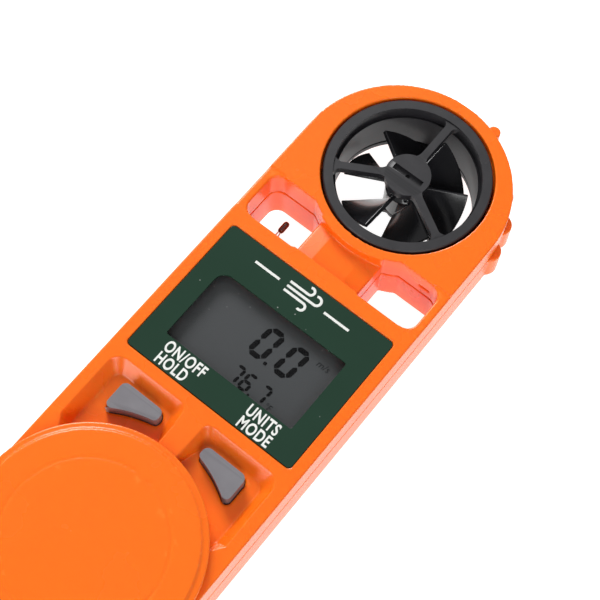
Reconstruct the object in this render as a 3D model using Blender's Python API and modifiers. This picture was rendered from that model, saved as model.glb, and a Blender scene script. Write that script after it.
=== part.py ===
# Pocket weather meter: an impeller anemometer with a thermistor, a display, two keys and a
# folding protective sheath that opens into a handle.
#
# The meter lies on its back. +Y points to the impeller end, +X to the meter's right, +Z out of the
# display. The world origin is the middle of the bottom of the open meter's bounding box.
# Sizes are in millimetres. They are laid out from the middle of the display panel in X and Y and
# from the resting surface in Z, and every builder below turns them into metres.

import math

import bmesh
import bpy

MM = 0.001
GAP = 0.3

# ---- body ----
BODY_HALF_WIDTH = 21.4
HEAD_Y = 42.0
PIVOT_Y = -47.5
BACK_Z = 2.0
FACE_Z = 17.0
PARTING_Z = 10.4
EDGE_ROUND = 1.6
RIM_STEPS = 24

# ---- impeller cartridge ----
IMPELLER_Y = 44.3
BORE_RADIUS = 17.0
BORE_SEAT_RADIUS = 16.5
BORE_LIP_RADIUS = 15.6
CARTRIDGE_RADIUS = 16.2
CARTRIDGE_BACK_Z = 3.3
DUCT_RADIUS = 13.7
MOUTH_RADIUS = 14.3
SPOKE_WIDTH = 1.5
SPOKE_ANGLES = (90, 210, 330)
REAR_SPOKE_TURN = 16
HUB_RADIUS = 4.45
BLADE_COUNT = 6
BLADE_TIP = 12.1
BLADE_ROOT = 2.6
BLADE_FRONT_Z = 13.0
BLADE_BACK_Z = 6.0
BLADE_FRONT_ANGLE = 28.0
BLADE_SWEEP = -46.5

# ---- sensor windows and the bridge between them ----
WINDOW_LOW_Y = 18.6
WINDOW_HIGH_Y = 28.9
WINDOW_IN_X = 7.2
WINDOW_OUT_X = 19.7
COLLAR_RADIUS = 18.4
BRIDGE_DEPTH = 2.0

# ---- display panel ----
PANEL_WIDTH = 38.0
PANEL_HEIGHT = 30.6
PANEL_RECESS = 1.0
SIGHT_WIDTH = 29.0
SIGHT_HEIGHT = 16.0
SIGHT_Y = -1.3

# ---- keys ----
KEY_IN_X = 4.9
KEY_OUT_X = 14.1
KEY_TOP_Y = -20.9
KEY_ARC_RADIUS = 24.7
KEY_MIDDLE_X = 9.5
KEY_MIDDLE_Y = -22.6
POCKET_DEPTH = 2.5
POCKET_FLOOR = 1.0
KEY_BACK_Z = 12.6

# ---- electronics ----
CAVITY_HALF_WIDTH = 18.2
CAVITY_LOW_Y = -26.3
CAVITY_HIGH_Y = 14.6
CAVITY_BACK_Z = 3.6
TUNNEL_HALF_WIDTH = 3.9
TUNNEL_HIGH_Y = 24.1
SEAL_OFFSET = 1.1
SEAL_WIDTH = 0.8
BOARD_Z = 9.3
BOARD_THICK = 1.0
GLASS_Z = 13.0
CELL_Y = -2.0
CELL_RADIUS = 10.0
CAP_RADIUS = 13.0
PROBE_X = -13.3
BEAD_RADIUS = 0.62
BEAD_LENGTH = 2.72

# ---- case screws ----
SCREWS = ((-17.4, 32.2), (17.4, 32.2), (-16.0, -30.8), (16.0, -30.8))
SCREW_RADIUS = 1.0
SCREW_HEAD_RADIUS = 1.9

# ---- sheath ----
PLATE = 1.7
TOP_Z = 19.0
SHEATH_WALL = 2.2
SHEATH_CLEARANCE = 0.6
HEAD_REACH = HEAD_Y - PIVOT_Y
SHEATH_IN = BODY_HALF_WIDTH + SHEATH_CLEARANCE
SHEATH_OUT = SHEATH_IN + SHEATH_WALL
SHEATH_END_Y = PIVOT_Y - HEAD_REACH
SHEATH_CORNER = 4.5
SHEATH_SPLIT_Z = 9.55
HUB_OUT = 7.0
HUB_BORE = 7.3
LANYARD_RADIUS = 3.2
LANYARD_REACH = 27.6

# ---- thumb grips on the head's edge ----
GRIP_ANGLES = (7, 24, 41)
GRIP_PROUD = 1.3
GRIP_RADIUS = 2.3
NUB_ANGLE = 71
NUB_PROUD = 1.8
NUB_RADIUS = 1.3

# ---- the layout's middle, which the world origin sits under ----
LEFT_X = -BODY_HALF_WIDTH
RIGHT_X = SHEATH_OUT
LOW_Y = SHEATH_END_Y - SHEATH_OUT
NUB_REACH = BODY_HALF_WIDTH + NUB_PROUD - NUB_RADIUS
HIGH_Y = HEAD_Y + NUB_REACH * math.sin(math.radians(NUB_ANGLE)) + NUB_RADIUS
MIDDLE_X = (LEFT_X + RIGHT_X) / 2
MIDDLE_Y = (LOW_Y + HIGH_Y) / 2

ORANGE = (0.93, 0.19, 0.02)
CHARCOAL = (0.035, 0.033, 0.037)
STEEL = (0.62, 0.63, 0.65)


# ---------------------------------------------------------------- scene

def clear_scene():
    for old in list(bpy.data.objects):
        bpy.data.objects.remove(old, do_unlink=True)


def make_collection(name):
    collection = bpy.data.collections.new(name)
    bpy.context.scene.collection.children.link(collection)
    return collection


clear_scene()
MODEL = make_collection("weather_meter")
CUTTERS = make_collection("cutters")


def make_empty(name, x, y, z, parent=None):
    empty = bpy.data.objects.new(name, None)
    empty.empty_display_size = 5 * MM
    MODEL.objects.link(empty)
    empty.parent = parent
    empty["layout"] = (x, y, z)
    start = parent["layout"] if parent else (MIDDLE_X, MIDDLE_Y, 0)
    if parent:
        empty.location = [(a - b) * MM for a, b in zip((x, y, z), start)]
    else:
        empty.location = (-MIDDLE_X * MM, -MIDDLE_Y * MM, 0)
    return empty


METER = make_empty("meter_frame", 0, 0, 0)
SHEATH_HINGE = make_empty("sheath_hinge", 0, PIVOT_Y, 0, METER)
CARTRIDGE = make_empty("cartridge_slide_axis", 0, IMPELLER_Y, 0, METER)
IMPELLER_AXIS = make_empty("impeller_axis", 0, IMPELLER_Y, 9, CARTRIDGE)
CAP_AXIS = make_empty("battery_cap_axis", 0, CELL_Y, 0, METER)


def settle(obj, holder):
    """Parent obj, whose mesh is in layout coordinates, to the empty that carries it."""
    x, y, z = holder["layout"]
    obj.parent = holder
    obj.location = (-x * MM, -y * MM, -z * MM)
    return obj


def paint(obj, colour, roughness=0.45, metallic=0.0, alpha=1.0):
    material = bpy.data.materials.new(obj.name + "_finish")
    material.use_nodes = True
    shader = material.node_tree.nodes["Principled BSDF"]
    shader.inputs["Base Color"].default_value = (*colour, 1)
    shader.inputs["Roughness"].default_value = roughness
    shader.inputs["Metallic"].default_value = metallic
    shader.inputs["Alpha"].default_value = alpha
    obj.data.materials.clear()
    obj.data.materials.append(material)
    return obj


# ---------------------------------------------------------------- outlines

def arc(cx, cy, radius, start, end, steps):
    angles = [math.radians(start + (end - start) * i / steps) for i in range(steps + 1)]
    return [(cx + radius * math.cos(a), cy + radius * math.sin(a)) for a in angles]


def ring(cx, cy, radius, steps):
    return arc(cx, cy, radius, 0, 360, steps)[:-1]


def box_outline(x0, y0, x1, y1):
    return [(x0, y0), (x1, y0), (x1, y1), (x0, y1)]


def rounded(points, steps=4):
    """Outline whose corners (x, y, radius) are turned into tangent arcs."""
    outline = []
    count = len(points)
    for i, corner in enumerate(points):
        x, y = corner[0], corner[1]
        radius = corner[2] if len(corner) > 2 else 0
        if radius == 0:
            outline.append((x, y))
            continue
        before, after = points[i - 1], points[(i + 1) % count]
        ax, ay = before[0] - x, before[1] - y
        bx, by = after[0] - x, after[1] - y
        la, lb = math.hypot(ax, ay), math.hypot(bx, by)
        ax, ay, bx, by = ax / la, ay / la, bx / lb, by / lb
        half = math.acos(max(-1, min(1, ax * bx + ay * by))) / 2
        reach = radius / math.tan(half)
        mx, my = ax + bx, ay + by
        length = math.hypot(mx, my)
        cx = x + mx / length * radius / math.sin(half)
        cy = y + my / length * radius / math.sin(half)
        start = math.atan2(y + ay * reach - cy, x + ax * reach - cx)
        end = math.atan2(y + by * reach - cy, x + bx * reach - cx)
        turn = (end - start + math.pi) % (2 * math.pi) - math.pi
        for k in range(steps + 1):
            angle = start + turn * k / steps
            outline.append((cx + radius * math.cos(angle), cy + radius * math.sin(angle)))
    return outline


def rounded_box(x0, y0, x1, y1, radius, steps=4):
    return rounded([(x, y, radius) for x, y in box_outline(x0, y0, x1, y1)], steps)


def mirrored(outline):
    return [(-x, y) for x, y in reversed(outline)]


# ---------------------------------------------------------------- solids

def add_mesh(name, mesh, collection):
    obj = bpy.data.objects.new(name, mesh)
    collection.objects.link(obj)
    return obj


def prism(name, loops, z0, z1, holder=METER, collection=MODEL):
    """Flat outline, with holes where loops lie inside it, raised from z0 to z1."""
    curve = bpy.data.curves.new(name, "CURVE")
    curve.dimensions = "2D"
    curve.fill_mode = "BOTH"
    curve.extrude = (z1 - z0) / 2 * MM
    for loop in loops:
        spline = curve.splines.new("POLY")
        spline.points.add(len(loop) - 1)
        for point, (x, y) in zip(spline.points, loop):
            point.co = (x * MM, y * MM, 0, 1)
        spline.use_cyclic_u = True
    draft = add_mesh(name + "_outline", curve, collection)
    graph = bpy.context.evaluated_depsgraph_get()
    mesh = bpy.data.meshes.new_from_object(draft.evaluated_get(graph))
    bpy.data.objects.remove(draft, do_unlink=True)
    work = bmesh.new()
    work.from_mesh(mesh)
    bmesh.ops.remove_doubles(work, verts=work.verts, dist=0.00001)
    bmesh.ops.translate(work, verts=work.verts, vec=(0, 0, (z0 + z1) / 2 * MM))
    bmesh.ops.recalc_face_normals(work, faces=work.faces)
    work.to_mesh(mesh)
    work.free()
    return settle(add_mesh(name, mesh, collection), holder)


def cylinder(name, cx, cy, radius, z0, z1, holder=METER, collection=MODEL, steps=32, top=None):
    """Upright cylinder or, with a top radius, cone."""
    mesh = bpy.data.meshes.new(name)
    work = bmesh.new()
    bmesh.ops.create_cone(work, cap_ends=True, segments=steps, radius1=radius * MM,
                          radius2=(radius if top is None else top) * MM, depth=(z1 - z0) * MM)
    bmesh.ops.translate(work, verts=work.verts, vec=(cx * MM, cy * MM, (z0 + z1) / 2 * MM))
    work.to_mesh(mesh)
    work.free()
    return smooth(settle(add_mesh(name, mesh, collection), holder))


def block(name, x0, y0, z0, x1, y1, z1, holder=METER, collection=MODEL):
    mesh = bpy.data.meshes.new(name)
    work = bmesh.new()
    bmesh.ops.create_cube(work, size=1)
    bmesh.ops.scale(work, verts=work.verts, vec=((x1 - x0) * MM, (y1 - y0) * MM, (z1 - z0) * MM))
    middle = ((x0 + x1) / 2 * MM, (y0 + y1) / 2 * MM, (z0 + z1) / 2 * MM)
    bmesh.ops.translate(work, verts=work.verts, vec=middle)
    work.to_mesh(mesh)
    work.free()
    return settle(add_mesh(name, mesh, collection), holder)


def turned(name, cx, cy, profile, holder=METER, collection=MODEL, steps=48):
    """Closed profile of (radius, z), off the axis, turned about the upright axis at cx, cy."""
    mesh = bpy.data.meshes.new(name)
    work = bmesh.new()
    verts = [work.verts.new((r * MM, 0, z * MM)) for r, z in profile]
    for a, b in zip(verts, verts[1:] + verts[:1]):
        work.edges.new((a, b))
    work.to_mesh(mesh)
    work.free()
    obj = add_mesh(name, mesh, collection)
    screw = obj.modifiers.new("turn", "SCREW")
    screw.angle = math.tau
    screw.steps = screw.render_steps = steps
    screw.use_merge_vertices = True
    screw.merge_threshold = 0.00001
    x, y, z = holder["layout"]
    obj.parent = holder
    obj.location = ((cx - x) * MM, (cy - y) * MM, -z * MM)
    return smooth(obj)


def turned_solid(name, cx, cy, profile, holder=METER, steps=32):
    """Open profile from the axis, top first, out and back to the axis, turned into a solid."""
    mesh = bpy.data.meshes.new(name)
    work = bmesh.new()
    verts = [work.verts.new((r * MM, 0, z * MM)) for r, z in profile]
    for a, b in zip(verts, verts[1:]):
        work.edges.new((a, b))
    work.to_mesh(mesh)
    work.free()
    obj = add_mesh(name, mesh, MODEL)
    screw = obj.modifiers.new("turn", "SCREW")
    screw.angle = math.tau
    screw.steps = screw.render_steps = steps
    screw.use_merge_vertices = True
    screw.merge_threshold = 0.00001
    x, y, z = holder["layout"]
    obj.parent = holder
    obj.location = ((cx - x) * MM, (cy - y) * MM, -z * MM)
    return smooth(obj)


def wire(name, points, radius, holder=METER, sides=2):
    """Round wire through a list of points."""
    curve = bpy.data.curves.new(name, "CURVE")
    curve.dimensions = "3D"
    curve.bevel_depth = radius * MM
    curve.bevel_resolution = sides
    curve.use_fill_caps = True
    spline = curve.splines.new("POLY")
    spline.points.add(len(points) - 1)
    for point, place in zip(spline.points, points):
        point.co = (*[v * MM for v in place], 1)
    return settle(add_mesh(name, curve, MODEL), holder)


def smooth(obj):
    obj.data.shade_smooth()
    obj.data.set_sharp_from_angle(angle=math.radians(35))
    return obj


def bevel(obj, width, steps=2, angle=50):
    edge = obj.modifiers.new("round", "BEVEL")
    edge.width = width * MM
    edge.segments = steps
    edge.limit_method = "ANGLE"
    edge.angle_limit = math.radians(angle)
    return obj


def boolean(obj, tool, operation):
    step = obj.modifiers.new(operation.lower() + "_" + tool.name, "BOOLEAN")
    step.operation = operation
    step.solver = "EXACT"
    step.object = tool
    tool.hide_render = True
    tool.display_type = "WIRE"
    return obj


def cut(obj, *tools):
    for tool in tools:
        boolean(obj, tool, "DIFFERENCE")
    return obj


def join(obj, *tools):
    for tool in tools:
        boolean(obj, tool, "UNION")
    return obj


# ---------------------------------------------------------------- outlines of this meter

def body_outline(half=BODY_HALF_WIDTH):
    return arc(0, HEAD_Y, half, 0, 180, RIM_STEPS) + arc(0, PIVOT_Y, half, 180, 360, RIM_STEPS)


def window_outline():
    """Right sensor window: its inner top corner follows the collar round the impeller."""
    start = math.degrees(math.asin((WINDOW_HIGH_Y - IMPELLER_Y) / COLLAR_RADIUS))
    end = -math.degrees(math.acos(WINDOW_IN_X / COLLAR_RADIUS))
    corners = [(WINDOW_IN_X, WINDOW_LOW_Y), (WINDOW_OUT_X, WINDOW_LOW_Y, 2.5),
               (WINDOW_OUT_X, WINDOW_HIGH_Y, 2.5)]
    corners += arc(0, IMPELLER_Y, COLLAR_RADIUS, start, end, 2)
    return rounded(corners)


def bridge_outline():
    """Sunk top of the bridge, cut a little into the windows on both sides."""
    half, radius, low = WINDOW_IN_X + 1.2, COLLAR_RADIUS + 0.4, WINDOW_LOW_Y + 0.3
    start = -math.degrees(math.acos(half / radius))
    top = arc(0, IMPELLER_Y, radius, start, -180 - start, 8)
    return [(-half, low), (half, low)] + top


def key_outline(grow=0.0):
    """Left key: straight towards the display, hollow towards the pivot disc."""
    radius = KEY_ARC_RADIUS - grow
    inner, outer = -KEY_IN_X + grow, -KEY_OUT_X - grow
    end = math.degrees(math.acos(inner / radius))
    start = math.degrees(math.acos(outer / radius))
    low = arc(0, PIVOT_Y, radius, start, end, 6)
    low[0] = (*low[0], 0.9)
    low[-1] = (*low[-1], 0.9)
    top = KEY_TOP_Y + grow
    return rounded([(inner, top, 1.2 + grow), (outer, top, 1.2 + grow)] + low, 3)


def pocket_outline():
    """Left key's dished pocket, open towards the pivot disc."""
    low = arc(0, PIVOT_Y, BODY_HALF_WIDTH + 0.6, 145, 97, 6)
    return rounded([(-3.0, -18.2, 1.5), (-18.6, -18.2, 2.5), (-18.6, low[0][1] + 3)] + low, 3)


def cavity_outline():
    return rounded_box(-CAVITY_HALF_WIDTH, CAVITY_LOW_Y, CAVITY_HALF_WIDTH, CAVITY_HIGH_Y, 1.5, 3)


def seal_outline(grow):
    """Loop round the cavity and the sensor tunnel, grow outside the cavity's wall."""
    half, tunnel = CAVITY_HALF_WIDTH + grow, TUNNEL_HALF_WIDTH + grow
    right = [(half, CAVITY_LOW_Y - grow, 1.0), (half, CAVITY_HIGH_Y + grow, 1.0),
             (tunnel, CAVITY_HIGH_Y + grow), (tunnel, TUNNEL_HIGH_Y + grow, 1.0)]
    left = [(-corner[0], *corner[1:]) for corner in reversed(right)]
    return rounded(right + left, 3)


# ---------------------------------------------------------------- shells

def space(name, z0, z1, *loops):
    return prism("cut_" + name, loops, z0, z1, METER, CUTTERS)


def hole(name, x, y, radius, z0, z1, steps=24, holder=METER):
    return cylinder("cut_" + name, x, y, radius, z0, z1, holder, CUTTERS, steps)


def shell_cutters(tag):
    """Spaces that run through both shells; each shell gets its own cutters."""
    windows = space("windows_" + tag, 0, 20, window_outline(), mirrored(window_outline()))
    bore = [(2.0, FACE_Z + 1), (BORE_RADIUS, FACE_Z + 1), (BORE_RADIUS, FACE_Z - 1.6),
            (BORE_SEAT_RADIUS, FACE_Z - 2), (BORE_SEAT_RADIUS, CARTRIDGE_BACK_Z - GAP),
            (BORE_LIP_RADIUS, CARTRIDGE_BACK_Z - GAP), (BORE_LIP_RADIUS, BACK_Z - 1),
            (2.0, BACK_Z - 1)]
    impeller = turned("cut_impeller_bore_" + tag, 0, IMPELLER_Y, bore, METER, CUTTERS, 48)
    core = hole("impeller_core_" + tag, 0, IMPELLER_Y, 3, BACK_Z - 1, FACE_Z + 1)
    cavity = space("cavity_" + tag, CAVITY_BACK_Z, FACE_Z - POCKET_DEPTH - POCKET_FLOOR,
                   cavity_outline())
    tunnel = block("cut_tunnel_" + tag, -TUNNEL_HALF_WIDTH, CAVITY_HIGH_Y - 1, 5,
                   TUNNEL_HALF_WIDTH, TUNNEL_HIGH_Y, 12.5, METER, CUTTERS)
    pivot = hole("pivot_bore_" + tag, 0, PIVOT_Y, HUB_BORE, 0, 20, 40)
    return [windows, impeller, core, cavity, tunnel, pivot]


def full_body(name):
    return bevel(prism(name, [body_outline()], BACK_Z, FACE_Z), EDGE_ROUND)


def edge_lump(name, angle, radius, reach, z0, z1):
    """Upright round lump on the head's edge, to be joined to a shell."""
    a = math.radians(angle)
    return cylinder(name, reach * math.cos(a), HEAD_Y + reach * math.sin(a), radius, z0, z1,
                    METER, CUTTERS, 16)


def make_front_shell():
    shell = full_body("front_shell")
    join(shell, edge_lump("nub", NUB_ANGLE, NUB_RADIUS, NUB_REACH, PARTING_Z, FACE_Z - 0.9))
    below = block("cut_front_parting", -40, -90, 0, 40, 90, PARTING_Z + GAP / 2, METER, CUTTERS)
    half_w, half_h = PANEL_WIDTH / 2 + 0.15, PANEL_HEIGHT / 2 + 0.15
    panel_floor = FACE_Z - PANEL_RECESS
    panel = space("panel", panel_floor, 20, rounded_box(-half_w, -half_h, half_w, half_h, 0.9))
    sight = space("sight", 10, 20, rounded_box(-15.3, SIGHT_Y - 8.8, 15.3, SIGHT_Y + 8.8, 1.5))
    display = space("display_room", 12, panel_floor - 0.9,
                    rounded_box(-CAVITY_HALF_WIDTH + 0.2, -15.6, CAVITY_HALF_WIDTH - 0.2,
                                CAVITY_HIGH_Y - 0.2, 1.5))
    bridge = space("bridge_top", FACE_Z - BRIDGE_DEPTH, 20, bridge_outline())
    pockets = space("pockets", FACE_Z - POCKET_DEPTH, 20, pocket_outline(),
                    mirrored(pocket_outline()))
    keys = space("keys", 11.5, 20, key_outline(GAP), mirrored(key_outline(GAP)))
    washer = hole("front_washer", 0, PIVOT_Y, 11.0, FACE_Z - 1.0, 20, 40)
    cut(shell, below, *shell_cutters("front"), display, panel, sight, bridge, pockets, keys, washer)
    for i, (x, y) in enumerate(SCREWS, 1):
        cut(shell, hole("pilot_%d" % i, x, y, SCREW_RADIUS + GAP, 9, 13.0, 12))
    return paint(smooth(shell), ORANGE, 0.35)


def make_rear_shell():
    shell = full_body("rear_shell")
    for i, angle in enumerate(GRIP_ANGLES, 1):
        join(shell, edge_lump("grip_%d" % i, angle, GRIP_RADIUS,
                              BODY_HALF_WIDTH + GRIP_PROUD - GRIP_RADIUS, 3.4, PARTING_Z + 1))
    above = block("cut_rear_parting", -40, -90, PARTING_Z - GAP / 2, 40, 90, 20, METER, CUTTERS)
    groove = space("seal_groove", PARTING_Z - 1.35, 12, seal_outline(SEAL_OFFSET + SEAL_WIDTH - 0.1),
                   seal_outline(SEAL_OFFSET - 0.5))
    hatch = hole("hatch", 0, CELL_Y, CAP_RADIUS + GAP, 0, 3.2, 48)
    well = hole("cell_well", 0, CELL_Y, CELL_RADIUS + 1.6, 0, 8, 48)
    washer = hole("rear_washer", 0, PIVOT_Y, 11.0, 0, BACK_Z + 1.0, 40)
    probe = block("cut_probe_hole", PROBE_X - 1.3, 13, 6.2, PROBE_X + 1.3, 19.5, 8.8, METER, CUTTERS)
    cut(shell, above, *shell_cutters("rear"), groove, hatch, well, washer, probe)
    for i, (x, y) in enumerate(SCREWS, 1):
        cut(shell, hole("screw_%d" % i, x, y, SCREW_RADIUS + GAP, 0, 12, 12),
            hole("screw_head_%d" % i, x, y, SCREW_HEAD_RADIUS + GAP, 0, 4.4, 20))
    return paint(smooth(shell), ORANGE, 0.35)


def make_case_screw(number, x, y):
    """Pan-head screw in the back, with a cross recess."""
    name = "case_screw_%d" % number
    screw = cylinder(name, x, y, SCREW_HEAD_RADIUS, 2.5, 4.0, steps=20)
    join(screw, cylinder(name + "_shank", x, y, SCREW_RADIUS, 3.5, 12.6, METER, CUTTERS, 12))
    for turn, (w, h) in enumerate([(2.4, 0.5), (0.5, 2.4)]):
        cut(screw, block("%s_cross_%d" % (name, turn), x - w / 2, y - h / 2, 2, x + w / 2,
                         y + h / 2, 3.2, METER, CUTTERS))
    return paint(screw, STEEL, 0.3, 1.0)


def make_seal():
    seal = prism("shell_gasket", [seal_outline(SEAL_OFFSET + SEAL_WIDTH - 0.4),
                                  seal_outline(SEAL_OFFSET - 0.2)], PARTING_Z - 1.05, PARTING_Z - 0.15)
    return paint(seal, (0.02, 0.02, 0.02), 0.8)


# ---------------------------------------------------------------- display and electronics

def make_display():
    half_w, half_h = PANEL_WIDTH / 2 - 0.15, PANEL_HEIGHT / 2 - 0.15
    low, high = SIGHT_Y - SIGHT_HEIGHT / 2, SIGHT_Y + SIGHT_HEIGHT / 2
    sight = rounded_box(-SIGHT_WIDTH / 2, low, SIGHT_WIDTH / 2, high, 1.2)
    panel = prism("faceplate", [rounded_box(-half_w, -half_h, half_w, half_h, 0.8), sight],
                  FACE_Z - PANEL_RECESS + GAP, FACE_Z - 0.1)
    paint(panel, (0.014, 0.040, 0.026), 0.15)
    pane = prism("display_window", [rounded_box(-15, SIGHT_Y - 8.5, 15, SIGHT_Y + 8.5, 1.2)],
                 FACE_Z - PANEL_RECESS - 0.8, FACE_Z - PANEL_RECESS)
    paint(pane, (0.8, 0.85, 0.85), 0.03, 0.0, 0.3)
    glass = block("lcd_glass", -16.2, SIGHT_Y - 9.7, GLASS_Z, 16.2, SIGHT_Y + 9.7, GLASS_Z + 1.8)
    paint(glass, (0.10, 0.105, 0.11), 0.25)
    holder = prism("lcd_holder", [box_outline(-17.6, SIGHT_Y - 11.1, 17.6, SIGHT_Y + 11.1),
                                  box_outline(-16.5, SIGHT_Y - 10.0, 16.5, SIGHT_Y + 10.0)],
                   BOARD_Z + BOARD_THICK + GAP, GLASS_Z + 1.7)
    paint(holder, (0.75, 0.75, 0.72), 0.5)
    for name, side in (("zebra_strip_upper", 1), ("zebra_strip_lower", -1)):
        y = SIGHT_Y + side * 8.6
        strip = block(name, -15.5, y - 0.8, BOARD_Z + BOARD_THICK + GAP, 15.5, y + 0.8,
                      GLASS_Z - GAP)
        paint(strip, (0.25, 0.08, 0.10), 0.7)


def make_board():
    top = BOARD_Z + BOARD_THICK
    board = prism("circuit_board", [rounded_box(-17.7, -25.8, 17.7, 14.1, 1.2, 3)], BOARD_Z, top)
    paint(board, (0.02, 0.16, 0.06), 0.4)
    chip = bevel(block("controller_chip", 2.5, -5.5, top + GAP, 10.5, 2.5, top + 1.5), 0.25, 1)
    paint(chip, (0.02, 0.02, 0.022), 0.5)
    crystal = prism("timing_crystal", [arc(-10, -4, 1.0, 180, 360, 8) + arc(-10, 1.2, 1.0, 0, 180, 8)],
                    top + GAP, top + 1.7)
    paint(crystal, STEEL, 0.25, 1.0)


def make_keypad():
    top = BOARD_Z + BOARD_THICK
    mat = prism("keypad_mat", [rounded_box(-16.5, -25.8, 16.5, -16.5, 1.5),
                               ring(-KEY_MIDDLE_X, KEY_MIDDLE_Y, 3.0, 24),
                               ring(KEY_MIDDLE_X, KEY_MIDDLE_Y, 3.0, 24)],
                top + GAP, top + 0.9)
    paint(mat, (0.30, 0.31, 0.31), 0.8)
    for side, x in (("left", -KEY_MIDDLE_X), ("right", KEY_MIDDLE_X)):
        dome = cylinder("rubber_dome_" + side, x, KEY_MIDDLE_Y, 2.6, top + GAP, KEY_BACK_Z - GAP, METER,
                        MODEL, 24, 1.7)
        paint(dome, (0.30, 0.31, 0.31), 0.8)


def make_keys():
    for side, flip in (("left", False), ("right", True)):
        x = KEY_MIDDLE_X if flip else -KEY_MIDDLE_X
        rail = make_empty("key_%s_slide" % side, x, KEY_MIDDLE_Y, FACE_Z, METER)
        outline = mirrored(key_outline()) if flip else key_outline()
        key = bevel(prism("key_" + side, [outline], KEY_BACK_Z, FACE_Z, rail), 0.5, 2)
        x0, x1 = sorted((x - 5.4, x + 5.2) if flip else (x - 5.2, x + 5.4))
        flange = prism("flange_" + side, [rounded_box(x0, -25.2, x1, -20.0, 0.8, 3)],
                       KEY_BACK_Z + 0.1, KEY_BACK_Z + 0.6, METER, CUTTERS)
        paint(smooth(join(key, flange)), (0.23, 0.25, 0.24), 0.5)


def make_cell():
    cell = turned_solid("battery_cell", 0, CELL_Y, [(0, 7.9), (9.0, 7.9), (9.0, 7.7),
                                                    (CELL_RADIUS, 7.5), (CELL_RADIUS, 4.9),
                                                    (0, 4.9)], steps=40)
    paint(cell, STEEL, 0.25, 1.0)
    strip = block("battery_contact_negative", -2.0, CELL_Y - 8, 8.4, 2.0, CELL_Y + 8, 8.7)
    paint(strip, STEEL, 0.3, 1.0)
    clip = prism("battery_contact_positive", [arc(0, CELL_Y, CELL_RADIUS + 1.0, 60, 120, 8)
                                              + arc(0, CELL_Y, CELL_RADIUS + GAP, 120, 60, 8)],
                 5.2, 8.8)
    paint(clip, STEEL, 0.3, 1.0)


def make_battery_cap():
    """Turned cap with a coin slot in the back; its collar fills the cell well."""
    profile = [(0, 4.5), (CELL_RADIUS + 0.4, 4.5), (CELL_RADIUS + 0.4, 2.95), (CAP_RADIUS, 2.95),
               (CAP_RADIUS, 2.3), (CAP_RADIUS - 0.3, BACK_Z), (0, BACK_Z)]
    cap = turned_solid("battery_cap", 0, CELL_Y, profile, CAP_AXIS, steps=40)
    slot = prism("cut_coin_slot", [arc(-7.5, CELL_Y, 0.9, 90, 270, 6)
                                   + arc(7.5, CELL_Y, 0.9, -90, 90, 6)], 0, 3.1, CAP_AXIS, CUTTERS)
    paint(smooth(cut(cap, slot)), ORANGE, 0.4)
    seal = turned("battery_cap_seal", 0, CELL_Y, list(reversed(ring(11.1, 3.75, 0.35, 6))), CAP_AXIS,
                  steps=32)
    paint(seal, (0.02, 0.02, 0.02), 0.8)


def make_sensors():
    """Pick-up coil by the impeller, and the thermistor that stands in the left window."""
    spool = [(1.2, 22.7), (3.0, 22.7), (3.0, 22.0), (1.9, 22.0), (1.9, 19.4), (3.0, 19.4),
             (3.0, 18.7), (1.2, 18.7)]
    coil = turned("pickup_coil", 0, 0, spool, steps=20)
    coil.location = (0, 0, 9.0 * MM)
    coil.rotation_euler = (-math.pi / 2, 0, 0)
    paint(coil, (0.35, 0.12, 0.03), 0.35, 0.6)
    for side, x in (("left", -1.4), ("right", 1.4)):
        lead = wire("pickup_lead_" + side, [(x, 18.2, 7.4), (x, 16.0, 7.6), (x, 13.4, 8.7)], 0.25)
        paint(lead, (0.4, 0.02, 0.02), 0.5)
    block_cut = block("cut_grommet_slot", PROBE_X - 0.85, 10, 7.0, PROBE_X + 0.85, 20, 8.0, METER,
                      CUTTERS)
    grommet = block("probe_grommet", PROBE_X - 1.0, 14.9, 6.5, PROBE_X + 1.0, 18.3, 8.5)
    paint(cut(grommet, block_cut), (0.03, 0.03, 0.03), 0.8)
    for side, dx in (("left", -0.35), ("right", 0.35)):
        route = [(PROBE_X + dx, 14.0, 7.5), (PROBE_X + dx, 18.6, 7.5), (PROBE_X + dx, 20.3, 8.3),
                 (PROBE_X + dx, 21.8, 9.4)]
        lead = wire("thermistor_lead_" + side, route, 0.18)
        paint(lead, (0.75, 0.73, 0.70), 0.3, 1.0)
    tip = [(BEAD_RADIUS * math.cos(a), BEAD_LENGTH - BEAD_RADIUS + BEAD_RADIUS * math.sin(a))
           for a in (math.pi / 3, math.pi / 6, 0)]
    profile = [(0, BEAD_LENGTH)] + tip + [(BEAD_RADIUS, 0.3), (0.4, 0), (0, 0)]
    bead = turned_solid("thermistor_bead", 0, 0, profile, steps=16)
    bead.location = (PROBE_X * MM, 22.1 * MM, 9.5 * MM)
    bead.rotation_euler = (-math.pi / 2, 0, 0)
    paint(bead, (0.10, 0.02, 0.01), 0.12)


# ---------------------------------------------------------------- impeller cartridge

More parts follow.
